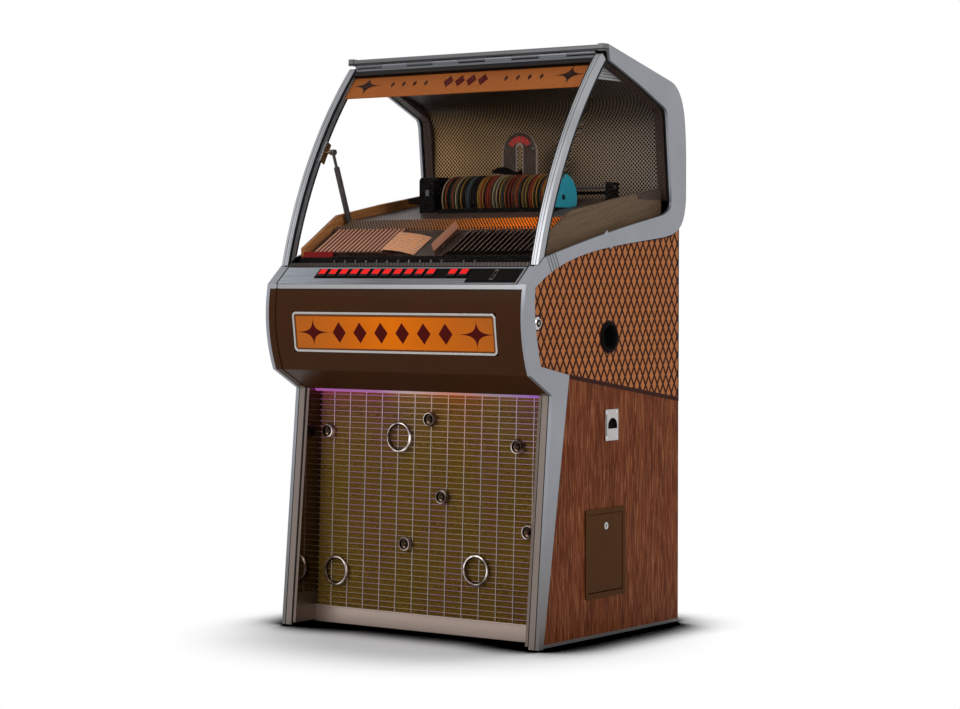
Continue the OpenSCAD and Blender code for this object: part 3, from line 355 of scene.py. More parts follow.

# %% [markdown]
# The floor is white further out. Near the machine it only takes the panels' light, and it is a darker grey round a
# point a little in front of the machine: a painted shadow pool. It also turns dark where the machine hides it from
# above, a painted contact shadow, because a floor that is white all over would lose that contact shadow.

# %% Floor
# painted shadow pool: round this point the floor is a darker grey
SHADOW_POOL_CENTRE, SHADOW_POOL_TONE, SHADOW_POOL_GLOW = (0.05, -0.2, 0), 0.55, 0.06
bpy.ops.object.select_all(action="DESELECT")
bpy.ops.mesh.primitive_plane_add(size=30, location=(0, 0, -0.0005))
floor = bpy.context.object
floor.name = "studio_floor"
pale = Finish("pale_floor", gloss=0.0, roughness=0.9)
away = node(pale.tree, "VectorMath", operation="DISTANCE")
plug(pale.tree, away.inputs[0], pale.spot)
away.inputs[1].default_value = SHADOW_POOL_CENTRE
fade = pale.rise(away.outputs["Value"], 0.28, 0.72)
occlusion = node(pale.tree, "AmbientOcclusion", samples=16)
occlusion.inputs["Distance"].default_value = 0.2
# painted contact shadow: the floor darkens where the machine lies close above it
painted_contact_shadow = pale.rise(occlusion.outputs["AO"], 0.72, 0.97, "LINEAR")
pale.set("Base Color", pale.both(pale.scaled(fade, -SHADOW_POOL_TONE, SHADOW_POOL_TONE), painted_contact_shadow))
pale.set("Emission Color", (1, 1, 1, 1))
pale.set("Emission Strength", pale.both(pale.scaled(fade, 1 - SHADOW_POOL_GLOW, SHADOW_POOL_GLOW), painted_contact_shadow))
floor.data.materials.append(pale.material)
print("floor:", floor.name)

# %% [markdown]
# Large panels give a studio's soft light. Small lamps would leave hard shadows and sharp glints.

# %% Lamps
def lamp(name, power, size, place, aim):
    data = bpy.data.lights.new(name, "AREA")
    data.energy = power
    data.size = size
    lamp_object = bpy.data.objects.new(name, data)
    scene.collection.objects.link(lamp_object)
    lamp_object.location = place
    lamp_object.rotation_euler = (Vector(aim) - Vector(place)).to_track_quat("-Z", "Y").to_euler()


lamp("key_panel", 130, 2.6, (-1.6, -4.6, 3.4), (0, 0, 0.8))
lamp("side_panel", 95, 2.2, (4.4, -0.6, 2.4), (0.2, 0, 0.8))
lamp("top_panel", 110, 2.0, (0.2, 1.4, 4.2), (0, 0, 0.9))
lamp("low_panel", 20, 1.6, (1.0, -4.5, 0.7), (0, -0.2, 0.5))

# %% [markdown]
# The side mouldings are satin silver. Real metal of this kind shows a fine speckle and a slow change of tone, so
# both the colour and the gloss vary a little. Seen from the front a moulding is only a narrow lip: the belly's
# brown enamel laps over its inner part, and on the legs a polished strip does, with a dark joint between.

# %% Side mouldings
BAND_FOOT = 0.8605  # lower edge of the silver band under the shelf
KNEE = 0.6115  # height where the belly turns into the legs
LIP_INSIDE, JOINT_INSIDE, SEAL_INSIDE = 0.3898, 0.3872, 0.3925
trim = Finish("satin_silver")
silver = trim.mottled((0.200, 0.207, 0.225), (0.285, 0.292, 0.318), 7.0, (0.27, 0.41), 0.05)
width = trim.size(trim.x)
rubber = trim.both(trim.below(width, SEAL_INSIDE), trim.above(trim.z, 0.925), trim.above(trim.y, -0.285))
wrap = trim.both(trim.below(width, LIP_INSIDE), trim.below(trim.z, BAND_FOOT))
nose = trim.both(wrap, trim.above(trim.z, KNEE))
leg = trim.both(wrap, trim.below(trim.z, KNEE))
joint = trim.both(leg, trim.above(width, JOINT_INSIDE))
# The silver is painted darker towards the floor: painted shade.
trim.set("Base Color", trim.layers(
    silver, (trim.rise(trim.z, 0.5, -0.05), (0.135, 0.125, 0.12)), (rubber, (0.01, 0.01, 0.011)),
    (nose, (0.0345, 0.0115, 0.003)), (leg, (0.185, 0.150, 0.132)), (joint, (0.006, 0.005, 0.005))))
trim.set("Metallic", trim.scaled(trim.either(rubber, nose, joint), -0.6, 0.6))
dress(trim, "side_trim_left", "side_trim_right")

# %% [markdown]
# The shelf and the top bar are the same metal, brushed along their length: noise that is stretched far along x gives
# the lines. A painted sheen lies over the shelf, bright at its left end. A dark flute runs along the bar, painted as a
# dark line of shade.

# %% Shelf and top bar
shelf = Finish("shelf_silver", 0.6)
brushed = shelf.noise((6, 700, 700), 3)
# painted sheen: bright at the shelf's left end, dark in its middle
painted_sheen = shelf.ramp(shelf.scaled(shelf.x, 1.25, 0.5), [
    (0.05, (0.40, 0.44, 0.485)), (0.45, (0.16, 0.155, 0.165)), (0.95, (0.22, 0.22, 0.235))])
brushed_and_painted_sheen = shelf.mix(brushed, (0.10, 0.10, 0.11), painted_sheen)
# painted shade: a dark line stands in for the bar's flute
flute_shade_line = shelf.between(shelf.z, 1.4445, 1.4485)
bar_tone = shelf.mix(flute_shade_line, (0.12, 0.12, 0.127), (0.03, 0.028, 0.028))
shelf.set("Base Color", shelf.mix(shelf.above(shelf.z, 1.3), brushed_and_painted_sheen, bar_tone))
shelf.set("Roughness", shelf.scaled(brushed, 0.16, 0.2))
dress(shelf, "button_shelf", "top_bar")

# %% [markdown]
# The lid's bent pillars are fluted polished tube, and the flutes are dark lines of painted shade. A rubber seal closes
# against the window and a gasket holds the glass, so the material turns black on both sides of the bend, at given
# distances from its axis. The lower rail carries a painted reflection of the pages as fine streaks, the upper rail is
# dark under a silver lip, and the lug that carries the gas strut is bronze.

# %% Lid metal
BEND_Y, BEND_Z = 0.89906, 0.61173
PILLAR_INSIDE = 0.3735
lid = Finish("lid_metal")
polish = lid.mottled((0.22, 0.225, 0.235), (0.38, 0.387, 0.405), 9.0, (0.26, 0.42))
depth = lid.span(lid.off(lid.y, BEND_Y), lid.off(lid.z, BEND_Z))
width = lid.size(lid.x)
pillar, rail = lid.above(width, PILLAR_INSIDE), lid.below(width, PILLAR_INSIDE)
gasket = lid.both(pillar, lid.below(width, 0.3778), lid.above(depth, 1.232))
seal = lid.either(lid.both(pillar, lid.below(depth, 1.2195)), gasket)
lug = lid.both(rail, lid.below(depth, 1.2218), lid.below(lid.z, 1.35))
# painted shade in the flutes and a painted reflection of the pages
flute_shade_lines = lid.either(lid.between(width, 0.3812, 0.3828), lid.between(width, 0.3890, 0.3912))
painted_page_reflection = lid.mix(lid.part(lid.scaled(lid.x, 90.0)), (0.006, 0.005, 0.004), (0.055, 0.045, 0.040))
lip = lid.mix(lid.above(lid.z, 1.4262), (0.010, 0.008, 0.007), (0.15, 0.155, 0.17))
lid.set("Base Color", lid.layers(
    polish, (lid.scaled(flute_shade_lines, 0.8), (0.03, 0.03, 0.033)), (seal, (0.008, 0.008, 0.009)),
    (lid.both(rail, lid.below(lid.z, 0.96)), painted_page_reflection), (lid.both(rail, lid.above(lid.z, 1.4)), lip),
    (lug, (0.16, 0.09, 0.035))))
lid.set("Metallic", lid.scaled(seal, -0.8, 0.8))
dress(lid, "lid_frame")

# %% [markdown]
# Below the dividing bead the side boards are walnut with an upright grain and short pale pores. Above it the
# field behind the lattice is a lighter tan, so one material holds both and changes along the bead's line. The
# boards' inner faces are plain dark board.

# %% Walnut and tan field
BEAD_Y, BEAD_Z, BEAD_SLOPE = -0.17, 0.654, 0.148  # a point on the bead, and its fall towards the back
walnut = Finish("walnut_board", gloss=0.03)
got = walnut.grained()
wood = walnut.ramp(got["Tone"], [
    (0.34, (0.042, 0.0087, 0.0025)), (0.5, (0.086, 0.0185, 0.005)), (0.66, (0.140, 0.0365, 0.011))])
pores = walnut.scaled(walnut.above(walnut.noise((520, 520, 15), 2), 0.57), 0.75)
bead_line = walnut.scaled(walnut.y, BEAD_SLOPE, -BEAD_Z - BEAD_SLOPE * BEAD_Y)
over_bead = walnut.above(walnut.calc("ADD", walnut.z, bead_line), 0.0)
tan = walnut.mix(walnut.clouds(26.0)["Cloud"], (0.268, 0.086, 0.026), (0.362, 0.136, 0.051))
faced = walnut.layers(wood, (pores, (0.235, 0.084, 0.036)), (over_bead, tan))
outside = walnut.above(walnut.size(walnut.x), 0.3705)
walnut.set("Base Color", walnut.mix(outside, (0.012, 0.009, 0.008), faced))
walnut.set("Roughness", walnut.scaled(got["Pore"], 0.2, 0.3))
walnut.bump(got["Pore"], 0.12)
dress(walnut, "side_board_left", "side_board_right")
plain("lattice_brown", [(0.016, 0.0035, 0.002), (0.030, 0.007, 0.004)], 40, (0.35, 0.5), 0.08, gloss=0.04,
      on=["side_lattices"])

# %% [markdown]
# The cabinet's back, roof and inner housings are black paint with a faint orange peel. Faces that look down, such as
# the roof's lining, are painted darker and duller, as shade. The base is a dark stained board.

# %% Black paint and dark board
paint = Finish("black_paint")
outer = paint.mottled((0.008, 0.006, 0.005), (0.016, 0.013, 0.011), 18, (0.3, 0.5), 0.25)
facing = paint.split(node(paint.tree, "TexCoord").outputs["Normal"])
# painted shade: faces that look down are darker
faces_down_painted_shade = paint.below(facing[2], -0.05)
paint.set("Base Color", paint.mix(faces_down_painted_shade, outer, (0.003, 0.0012, 0.0008)))
paint.set("Specular IOR Level", paint.scaled(faces_down_painted_shade, -0.045, 0.05))
dress(paint, "roof_panel", "rear_panel", "amplifier", "coin_mech", "woofers")
plain("dark_board", [(0.04, 0.022, 0.014), (0.07, 0.04, 0.025)], 30, (0.5, 0.7), 0.2, on=["base_board"])

# %% [markdown]
# The panes are clear. Light has to pass into the canopy, so for shadow rays the pane turns transparent;
# the camera still sees the gloss of real glass.

# %% Clear panes
pane = Finish("clear_pane", roughness=0.02)
pane.set("Base Color", (1, 1, 1, 1))
pane.set("Transmission Weight", 1.0)
pane.set("IOR", 1.03)
path = node(pane.tree, "LightPath").outputs
veil = node(pane.tree, "MixShader")
plug(pane.tree, veil.inputs[0], pane.either(path["Is Shadow Ray"], path["Is Diffuse Ray"]))
plug(pane.tree, veil.inputs[1], pane.shader.outputs[0])
plug(pane.tree, veil.inputs[2], node(pane.tree, "BsdfTransparent").outputs[0])
plug(pane.tree, pane.tree.nodes["Material Output"].inputs["Surface"], veil.outputs[0])
dress(pane, "side_windows", "lid_glass")

# %% [markdown]
# Inside the canopy the left cheek is varnished orange-brown wood and the right one is duller. Their upper back, under
# the roof, is painted dark as shade. The grain group is turned, so that it runs along the boards.

# %% Inner cheeks
inner = Finish("inner_wood")
got = inner.grained((1.35, 0, 0))
varnished = inner.ramp(got["Tone"], [(0.3, (0.17, 0.06, 0.018)), (0.7, (0.42, 0.18, 0.06))])
dull = inner.ramp(got["Tone"], [(0.3, (0.050, 0.031, 0.017)), (0.7, (0.12, 0.076, 0.044))])
# painted shade on the cheeks' upper back, under the roof
cheek_roof_shade = inner.both(inner.above(inner.z, 1.0845), inner.above(inner.scaled(inner.z, 0.5, inner.y), 0.72))
inner.set("Base Color", inner.layers(varnished, (inner.above(inner.x, 0.3), dull), (cheek_roof_shade, (0.035, 0.022, 0.017))))
inner.set("Roughness", inner.scaled(got["Pore"], 0.2, 0.28))
inner.bump(got["Pore"], 0.1, 0.0003)
dress(inner, "inner_cheeks")

# %% [markdown]
# The deck is dark stained wood with a ribbed amber step that glows a little; the glow and the amber's brightening
# towards the right are painted light. The step's shape is in the solid; a sine of the place draws the dark lines
# between its ribs, as painted shade.

# %% Deck
deck = Finish("deck_wood", gloss=0.06)
got = deck.grained((0, 1.57, 0))
stained = deck.ramp(got["Tone"], [(0.3, (0.020, 0.012, 0.009)), (0.7, (0.055, 0.034, 0.026))])
# painted light: the amber brightens towards the right
amber = deck.ramp(deck.scaled(deck.x, 1.6, 0.35), [
    (0.0, (0.14, 0.085, 0.055)), (0.35, (0.30, 0.105, 0.026)), (0.75, (0.98, 0.21, 0.006)), (1.0, (0.58, 0.11, 0.006))])
# painted shade: dark lines between the ribs
rib = deck.calc("SINE", deck.scaled(deck.calc("ADD", deck.x, deck.y), 700.0))
amber = deck.mix(deck.above(rib, -0.1), (0.030, 0.012, 0.006), amber)
ledge = deck.both(deck.between(deck.y, -0.1475, -0.0905), deck.above(deck.z, 1.004))
deck.set("Base Color", deck.mix(ledge, stained, amber))
deck.set("Emission Color", amber)
deck.set("Emission Strength", deck.scaled(ledge, 0.10))
deck.set("Roughness", deck.scaled(got["Pore"], 0.2, 0.3))
dress(deck, "deck")

# %% [markdown]
# The backdrop is a gold sheet with rows of round holes, laid slantwise. It is painted dimmer to the right, and painted
# darker towards its top, as shade under the roof.

# %% Backdrop
gold = Finish("gold_sheet", roughness=0.4)
hole = gold.use(holes, U=gold.calc("ADD", gold.x, gold.z), V=gold.off(gold.x, gold.z), Pitch=0.0105,
                Radius=0.40)["Hole"]
lit = gold.mix(gold.clouds(3.5, (1, 1, 1.6))["Cloud"], (0.18, 0.105, 0.045), (0.345, 0.21, 0.092))
# painted shade: dimmer to the right and dark towards the top, under the roof
painted_shade_right = gold.scaled(gold.x, 1.6, 0.42)
backdrop_roof_shade = gold.both(gold.rise(gold.z, 1.27, 1.39), gold.scaled(painted_shade_right, -1.0, 1.45))
gold.set("Base Color", gold.layers(
    lit, (painted_shade_right, (0.155, 0.122, 0.098)), (backdrop_roof_shade, (0.016, 0.007, 0.003)), (hole, (0.005, 0.003, 0.002))))
gold.set("Metallic", gold.scaled(hole, -0.4, 0.4))
dress(gold, "backdrop")

# %% [markdown]
# The belly panel is dark brown gloss enamel under a silver band, with a dark groove between. They are one solid,
# and height alone tells them apart, so one material holds all three.

# %% Belly panel
fascia = Finish("fascia_brown")
brown = fascia.mottled((0.029, 0.0094, 0.0022), (0.040, 0.0136, 0.0037), 12.0, (0.3, 0.4), 0.04)
band = fascia.above(fascia.z, BAND_FOOT)
groove = fascia.between(fascia.z, BAND_FOOT - 0.0022, BAND_FOOT)
fascia.set("Base Color", fascia.layers(brown, (groove, (0.005, 0.003, 0.002)), (band, (0.24, 0.24, 0.245))))
fascia.set("Metallic", fascia.scaled(band, 0.6))
dress(fascia, "fascia")

# %% [markdown]
# The sign on the belly is an amber lens lit from behind. It carries printed stars and a row of lozenges in place
# of words. Print has no height, so it is a mask in the material and not a piece.

# %% Sign
def lozenges(finish, up, pitch, shift, wide, high):
    """A row of lozenges along x, one to a pitch."""
    cell = finish.part(finish.calc("DIVIDE", finish.calc("ADD", finish.x, shift), pitch))
    return finish.use(ornament, U=finish.scaled(cell, pitch, -pitch / 2), V=up, Wide=wide, High=high)["Lozenge"]


def stars(finish, up, places, wide, high):
    return finish.either(*[finish.use(ornament, U=finish.off(finish.x, x), V=up, Wide=wide, High=high)["Star"]
                           for x in places])


def light_through(finish, colour):
    finish.set("Base Color", colour)
    finish.set("Emission Color", colour)
    finish.set("Emission Strength", 0.12)


lens = Finish("amber_lens", gloss=0.03, roughness=0.25)
middle = lens.size(lens.x)
warmth = lens.scaled(lens.clouds(3.0, (1, 1, 3))["Cloud"], 0.5, lens.scaled(middle, 1.6))
amber = lens.ramp(warmth, [(0.2, (0.56, 0.120, 0.001)), (0.5, (0.42, 0.094, 0.004)), (0.85, (0.26, 0.076, 0.012))])
up = lens.off(lens.z, 0.752)
row = lens.both(lozenges(lens, up, 0.066, 0.002, 0.021, 0.026), lens.between(lens.x, -0.2, 0.196))
printed = lens.either(row, stars(lens, up, (-0.250, 0.256), 0.072, 0.044))
edge = lens.either(lens.above(lens.size(up), 0.0395), lens.above(middle, 0.3045))
light_through(lens, lens.layers(amber, (edge, (0.10, 0.032, 0.008)), (printed, (0.05, 0.003, 0.002))))
dress(lens, "sign_window")

# %% [markdown]
# The header in the lid is the same kind of plastic, with smaller marks from the same functions.

# %% Header
film = Finish("header_film", gloss=0.03, roughness=0.35)
ground = film.mix(film.clouds(4.0)["Cloud"], (0.175, 0.050, 0.011), (0.26, 0.078, 0.018))
up = film.scaled(film.off(film.z, 1.3853), 1.35)
badge = film.both(lozenges(film, up, 0.036, 0.0, 0.016, 0.021), film.between(film.x, -0.072, 0.072))
dots = film.both(lozenges(film, up, 0.036, 0.0, 0.006, 0.011), film.between(film.size(film.x), 0.108, 0.252))
dark = film.either(dots, stars(film, up, (-0.320, 0.318), 0.068, 0.044))
light_through(film, film.layers(ground, (dark, (0.016, 0.005, 0.003)), (badge, (0.045, 0.004, 0.003))))
dress(film, "header_panel")

# %% [markdown]
# Small bright parts are plated: the sign's frame, the coin plate, the coin slot's frame and the locks. The side lock
# has a dark recess round its core, painted as shade.

# %% Plated parts
LOCK_Y, LOCK_Z = -0.291, 0.780
bright_trim = plain("bright_trim", [(0.36, 0.345, 0.34), (0.48, 0.465, 0.45)], 60, (0.12, 0.22), metallic=1.0,
                    on=["sign_bezel", "coin_plate", "cash_lock"])
ring_chrome = plain("ring_chrome", [(0.13, 0.115, 0.11), (0.26, 0.235, 0.22)], 90, (0.08, 0.2), metallic=1.0)
lock_chrome = Finish("lock_chrome", 1.0)
plated = lock_chrome.mottled((0.42, 0.40, 0.385), (0.60, 0.57, 0.55), 90.0, (0.1, 0.22))
from_axis = lock_chrome.span(lock_chrome.off(lock_chrome.y, LOCK_Y), lock_chrome.off(lock_chrome.z, LOCK_Z))
# painted shade in the recess round the lock's core
recess_shade = lock_chrome.between(from_axis, 0.0036, 0.0096)
lock_chrome.set("Base Color", lock_chrome.mix(recess_shade, plated, (0.02, 0.017, 0.016)))
dress(lock_chrome, "side_lock")

# %% [markdown]
# Black moulded plastic has a fine leather-like texture that catches a soft highlight. The credit display at the
# left end of the key strip glows red.

# %% Black plastic
black_plastic = Finish("black_plastic", gloss=0.008)
black_plastic.mottled((0.003, 0.0024, 0.0022), (0.008, 0.0068, 0.0062), 50, (0.4, 0.6), 0.08)
display = black_plastic.both(
    black_plastic.below(black_plastic.x, -0.2585), black_plastic.above(black_plastic.z, 0.9392),
    black_plastic.below(black_plastic.y, -0.255))
black_plastic.set("Emission Color", (0.30, 0.012, 0.012, 1))
black_plastic.set("Emission Strength", black_plastic.scaled(display, 0.5))
dress(black_plastic, "control_plates", "hand_cups", "disc_tray", "drive_unit", "gripper_arm", "coin_flap")

# %% [markdown]
# The grille's wires are warm brushed steel, with paler uprights. The level wires' tone drifts between yellow, pink and
# purple, a painted reflection of the light strip. The light strip's colours spill over their upper part. The finish
# adds that as a weak glow in the strip's own colours, so it shows under any light.

# %% Grille wires
STRIP_STOPS = [(0.0, (0.42, 0.06, 0.40)), (0.28, (0.40, 0.12, 0.38)), (0.42, (0.55, 0.40, 0.40)),
               (0.62, (0.62, 0.20, 0.10)), (0.8, (0.32, 0.24, 0.30)), (1.0, (0.30, 0.07, 0.55))]
UPRIGHT_PITCH, UPRIGHT_HALF = 0.052, 0.0013


def strip_colour(finish):
    return finish.ramp(finish.scaled(finish.x, 1.4, 0.5), STRIP_STOPS)


def strip_spill(finish, strength):
    """The strip's coloured light on what hangs below it, strongest at the top."""
    finish.set("Emission Color", strip_colour(finish))
    finish.set("Emission Strength", finish.scaled(finish.rise(finish.z, 0.36, 0.66), strength))


wire = Finish("warm_steel", 0.8)
lines = wire.noise((900, 900, 12), 3)
off_wire = wire.calc("PINGPONG", wire.calc("ADD", wire.x, UPRIGHT_PITCH * 20), UPRIGHT_PITCH / 2)
# painted reflection: the strip's hues on the level wires
level = wire.ramp(wire.noise((9, 9, 5), 1), [
    (0.34, (0.25, 0.19, 0.07)), (0.47, (0.26, 0.18, 0.14)), (0.6, (0.25, 0.13, 0.20))])
wire.set("Base Color", wire.layers(level, (wire.below(off_wire, UPRIGHT_HALF), (0.41, 0.335, 0.285)),
                                   (wire.scaled(lines, 0.4), (0.20, 0.15, 0.12))))
strip_spill(wire, 0.27)
wire.set("Roughness", wire.scaled(lines, 0.2, 0.26))
dress(wire, "wire_grille", "cash_box")

# %% [markdown]
# The grille's surround is polished steel that mirrors the wires: full metal with a low roughness. Its kick plate is
# rubbed duller, so a mask on the height raises the roughness there. Its rim beside the legs is painted darker, as
# shade.

# %% Polished surround
steel = Finish("polished_steel", 1.0)
got = steel.clouds(6.0)["Cloud"]
sheet = steel.mix(got, (0.43, 0.335, 0.29), (0.56, 0.455, 0.405))
kick = steel.below(steel.z, 0.085)
# painted shade: the rim beside the legs is darker
rim = steel.above(steel.size(steel.x), 0.3572)
steel.set("Base Color", steel.layers(sheet, (kick, (0.54, 0.43, 0.37)), (rim, (0.155, 0.118, 0.10))))
steel.set("Roughness", steel.scaled(kick, 0.28, steel.scaled(got, 0.08, 0.06)))
dress(steel, "grille_frame")

# %% [markdown]
# The speaker cloth is an olive-brown weave with lighter and darker threads. Two crossed sines make the weave, and
# they drive the relief too.

# %% Speaker cloth
WEAVE = 3100.0  # radians to the metre, which is a thread every 2 mm
fabric = Finish("speaker_cloth", gloss=0.02, roughness=0.9)
weave = fabric.both(*[fabric.calc("SINE", fabric.scaled(along, WEAVE)) for along in (fabric.x, fabric.z)])
weave = fabric.scaled(weave, 0.5, 0.5)
share = fabric.scaled(weave, 0.25, fabric.scaled(fabric.clouds(12.0)["Cloud"], 0.25))
share = fabric.scaled(fabric.noise((420, 420, 480), 1), 2.6, fabric.off(share, 1.05))
fabric.set("Base Color", fabric.mix(share, (0.036, 0.017, 0.003), (0.172, 0.098, 0.016)))
strip_spill(fabric, 0.03)
fabric.bump(weave, 0.4)
dress(fabric, "grille_baffle")

# %% [markdown]
# Nine chrome ornaments sit on the wires: three large hoops and six small cups. The finish paints chrome's reflections:
# the bright room on the outside of each bar and the dark cloth on its inside, so the tone turns dark within a given
# distance of an ornament's centre.

# %% Ornaments
LARGE_RINGS = [(-0.0947, 0.488), (-0.2916, 0.140), (0.153, 0.170)]
SMALL_RINGS = [(-0.324, 0.496), (0.0022, 0.536), (0.2725, 0.478), (0.0454, 0.345), (0.3096, 0.273), (-0.0673, 0.222)]
LARGE_INSIDE, SMALL_INSIDE = 0.0338, 0.0148
chrome = Finish("grille_chrome", 1.0)
dark_inside_reflection = chrome.either(*[chrome.below(chrome.span(chrome.off(chrome.x, x), chrome.off(chrome.z, z)), inside)
                         for rings, inside in ((LARGE_RINGS, LARGE_INSIDE), (SMALL_RINGS, SMALL_INSIDE))
                         for x, z in rings])
# painted reflection of the room, bright and dark by noise
room_reflection = chrome.noise((42, 42, 42), 1)
mirrored = chrome.ramp(room_reflection, [(0.38, (0.17, 0.14, 0.13)), (0.5, (0.45, 0.37, 0.34)), (0.62, (0.88, 0.80, 0.77))])
chrome.set("Base Color", chrome.mix(dark_inside_reflection, mirrored, (0.045, 0.029, 0.019)))
chrome.set("Roughness", chrome.scaled(room_reflection, 0.14, 0.08))
dress(chrome, "grille_rings")

# %% [markdown]
# The light strip under the belly changes colour along its length. It throws more light on the wires than the
# diffuser shows to the eye, so its strength is lower for rays from the camera and from shiny metal.

# %% Light strip
THROWN, SHOWN = 9.0, 0.7
strip = Finish("lit_strip", roughness=0.4)
path = node(strip.tree, "LightPath").outputs
looked_at = strip.either(path["Is Camera Ray"], path["Is Glossy Ray"])
strip.set("Base Color", (0.1, 0.08, 0.1, 1))
strip.set("Emission Color", strip_colour(strip))
strip.set("Emission Strength", strip.scaled(looked_at, SHOWN - THROWN, THROWN))
dress(strip, "light_strip")

# %% [markdown]
# The cash door and its frame are dark brown enamel. The discs' edges differ in colour from one to the next: each
# disc's number picks one of a few tones. The end disc shows its blue face.

# %% Door and discs
plain("door_brown", [(0.042, 0.0145, 0.0035), (0.062, 0.0235, 0.0065)], 20, (0.4, 0.55), 0.15, gloss=0.03,
      on=["door_frame", "cash_door"])

FIRST_DISC, DISC_PITCH, END_DISC = -0.1501, 0.0054, 0.1905
disc = Finish("disc_silver", roughness=0.3)
chance = node(disc.tree, "TexWhiteNoise", noise_dimensions="1D")
plug(disc.tree, chance.inputs["W"], disc.calc("FLOOR", disc.calc("DIVIDE", disc.off(disc.x, FIRST_DISC), DISC_PITCH)))
edges = disc.ramp(chance.outputs["Value"], [
    (0.0, (0.012, 0.009, 0.008)), (0.18, (0.21, 0.035, 0.018)), (0.30, (0.27, 0.14, 0.03)),
    (0.42, (0.035, 0.042, 0.030)), (0.58, (0.34, 0.23, 0.13)), (0.68, (0.014, 0.010, 0.009)),
    (0.84, (0.26, 0.065, 0.022)), (0.93, (0.06, 0.08, 0.11))], "CONSTANT")
disc.set("Base Color", disc.mix(disc.above(disc.x, END_DISC), edges, (0.024, 0.235, 0.300)))
dress(disc, "discs")

# %% [markdown]
# The lead screw and the strut are dark rod. The player's arch is bronze with a fan of red bars and a pale edge,
# which follow the distance and the angle from the arch's centre.

# %% Rods and the player's arch
rod_steel = plain("rod_steel", [(0.52, 0.52, 0.52), (0.66, 0.66, 0.66)], 80, (0.18, 0.3), metallic=1.0)
dark_rod = plain("dark_rod", [(0.040, 0.034, 0.033), (0.075, 0.064, 0.062)], 60, (0.3, 0.45), metallic=0.5,
                 on=["lead_screw", "strut_rod", "strut_tube"])

ARCH_X, ARCH_Z, SLOT_Z = 0.005, 1.213, 1.226
player = Finish("player_bronze", 0.2, 0.03)
plate = player.mottled((0.024, 0.0155, 0.0115), (0.050, 0.033, 0.025), 25.0, (0.3, 0.45), 0.1)
sideways = player.off(player.x, ARCH_X)


def arch_distance(centre_z):
    """Distance from a line that runs up the arch and ends at centre_z."""
    return player.span(sideways, player.calc("MAXIMUM", player.off(player.z, centre_z), 0.0))


turn = player.calc("ARCTAN2", sideways, player.off(player.z, ARCH_Z))
bars = player.below(player.part(player.scaled(turn, 2.5, 0.61)), 0.78)
fan = player.both(player.between(arch_distance(ARCH_Z), 0.026, 0.042), player.between(turn, -1.0, 1.0))
edging = player.either(player.above(arch_distance(ARCH_Z), 0.0515), player.below(arch_distance(SLOT_Z), 0.0122))
edging = player.both(edging, player.below(player.y, 0.183))
player.set("Base Color", player.layers(
    plate, (fan, (0.10, 0.045, 0.032)), (player.both(fan, bars), (0.30, 0.022, 0.020)), (edging, (0.16, 0.122, 0.10))))
dress(player, "player_carriage")

# %% [markdown]
# The title pages stand on a slope. Their faces carry rows of print, and only the upper edges catch the light. The
# distances along the slope and above it come from y and z, so lines and edges follow the cards.

# %% Title pages
STACK_COS, STACK_SIN = 0.861, 0.508
card = Finish("page_card")
slope = card.scaled(card.y, STACK_COS, card.scaled(card.z, STACK_SIN))
height = card.off(card.scaled(card.off(card.z, 0.94), STACK_COS), card.scaled(card.off(card.y, -0.255), STACK_SIN))
rim = card.above(height, 0.0132)
ink = card.noise((240, 30, 30), 2)
inked = card.both(card.above(card.part(card.scaled(slope, 110.0)), 0.55), card.above(ink, 0.5))
left = card.layers((0.050, 0.022, 0.014), (inked, (0.014, 0.006, 0.004)), (rim, (0.37, 0.165, 0.10)))
right = card.mix(rim, (0.012, 0.008, 0.006), (0.10, 0.060, 0.042))
card.set("Base Color", card.mix(card.above(card.x, 0.066), left, right))
card.set("Roughness", card.scaled(ink, 0.2, 0.35))
dress(card, "page_stacks", "turning_page")

# %% [markdown]
# The keys are red caps in black surrounds. The thirteen share one finish, so the mask reads each key's own box.

# %% Keys
button = Finish("button_red", roughness=0.22)
red = button.mix(button.clouds(60.0)["Cloud"], (0.55, 0.004, 0.004), (0.70, 0.008, 0.007))
across, back, up = button.split(node(button.tree, "TexCoord").outputs["Generated"])
cap = button.both(button.between(across, 0.12, 0.9), button.above(button.calc("ADD", back, up), 0.78))
button.set("Base Color", button.mix(cap, (0.006, 0.003, 0.003), red))
button.set("Emission Color", (1, 0.008, 0.008, 1))
button.set("Emission Strength", button.scaled(cap, 0.1))
dress(button, *keys)
print("finishes:", len(bpy.data.materials))

# %% [markdown]
# Pieces are shaped as by hand: selected, edited, and their place put into the mesh. A solid comes as loose
# triangles, so its copy is merged back into whole faces before anything else is done to it.

# %% Copying a solid
def only(piece):
    """Selects one piece and makes it the active one."""
    bpy.ops.object.select_all(action="DESELECT")
    piece.select_set(True)
    bpy.context.view_layer.objects.active = piece


def edit_all():
    bpy.ops.object.mode_set(mode="EDIT")
    bpy.ops.mesh.select_all(action="SELECT")


def bake_place():
    """Puts the object's place, turn and scale into its mesh."""
    bpy.ops.object.transform_apply(location=True, rotation=True, scale=True)


def smooth():
    bpy.ops.object.shade_smooth_by_angle(angle=math.radians(35))


def own_copy(name):
    only(nodes[name])
    bpy.ops.object.duplicate()
    copy = bpy.context.object
    for key in [k for k in copy.keys() if k.startswith("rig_")]:
        del copy[key]
    bpy.ops.object.parent_clear(type="CLEAR_KEEP_TRANSFORM")
    bake_place()
    edit_all()
    bpy.ops.mesh.remove_doubles(threshold=1e-5)
    bpy.ops.mesh.dissolve_limited(angle_limit=math.radians(0.4))
    bpy.ops.mesh.normals_make_consistent(inside=False)
    bpy.ops.object.mode_set(mode="OBJECT")
    return copy


print("solids to copy from:", len(nodes))

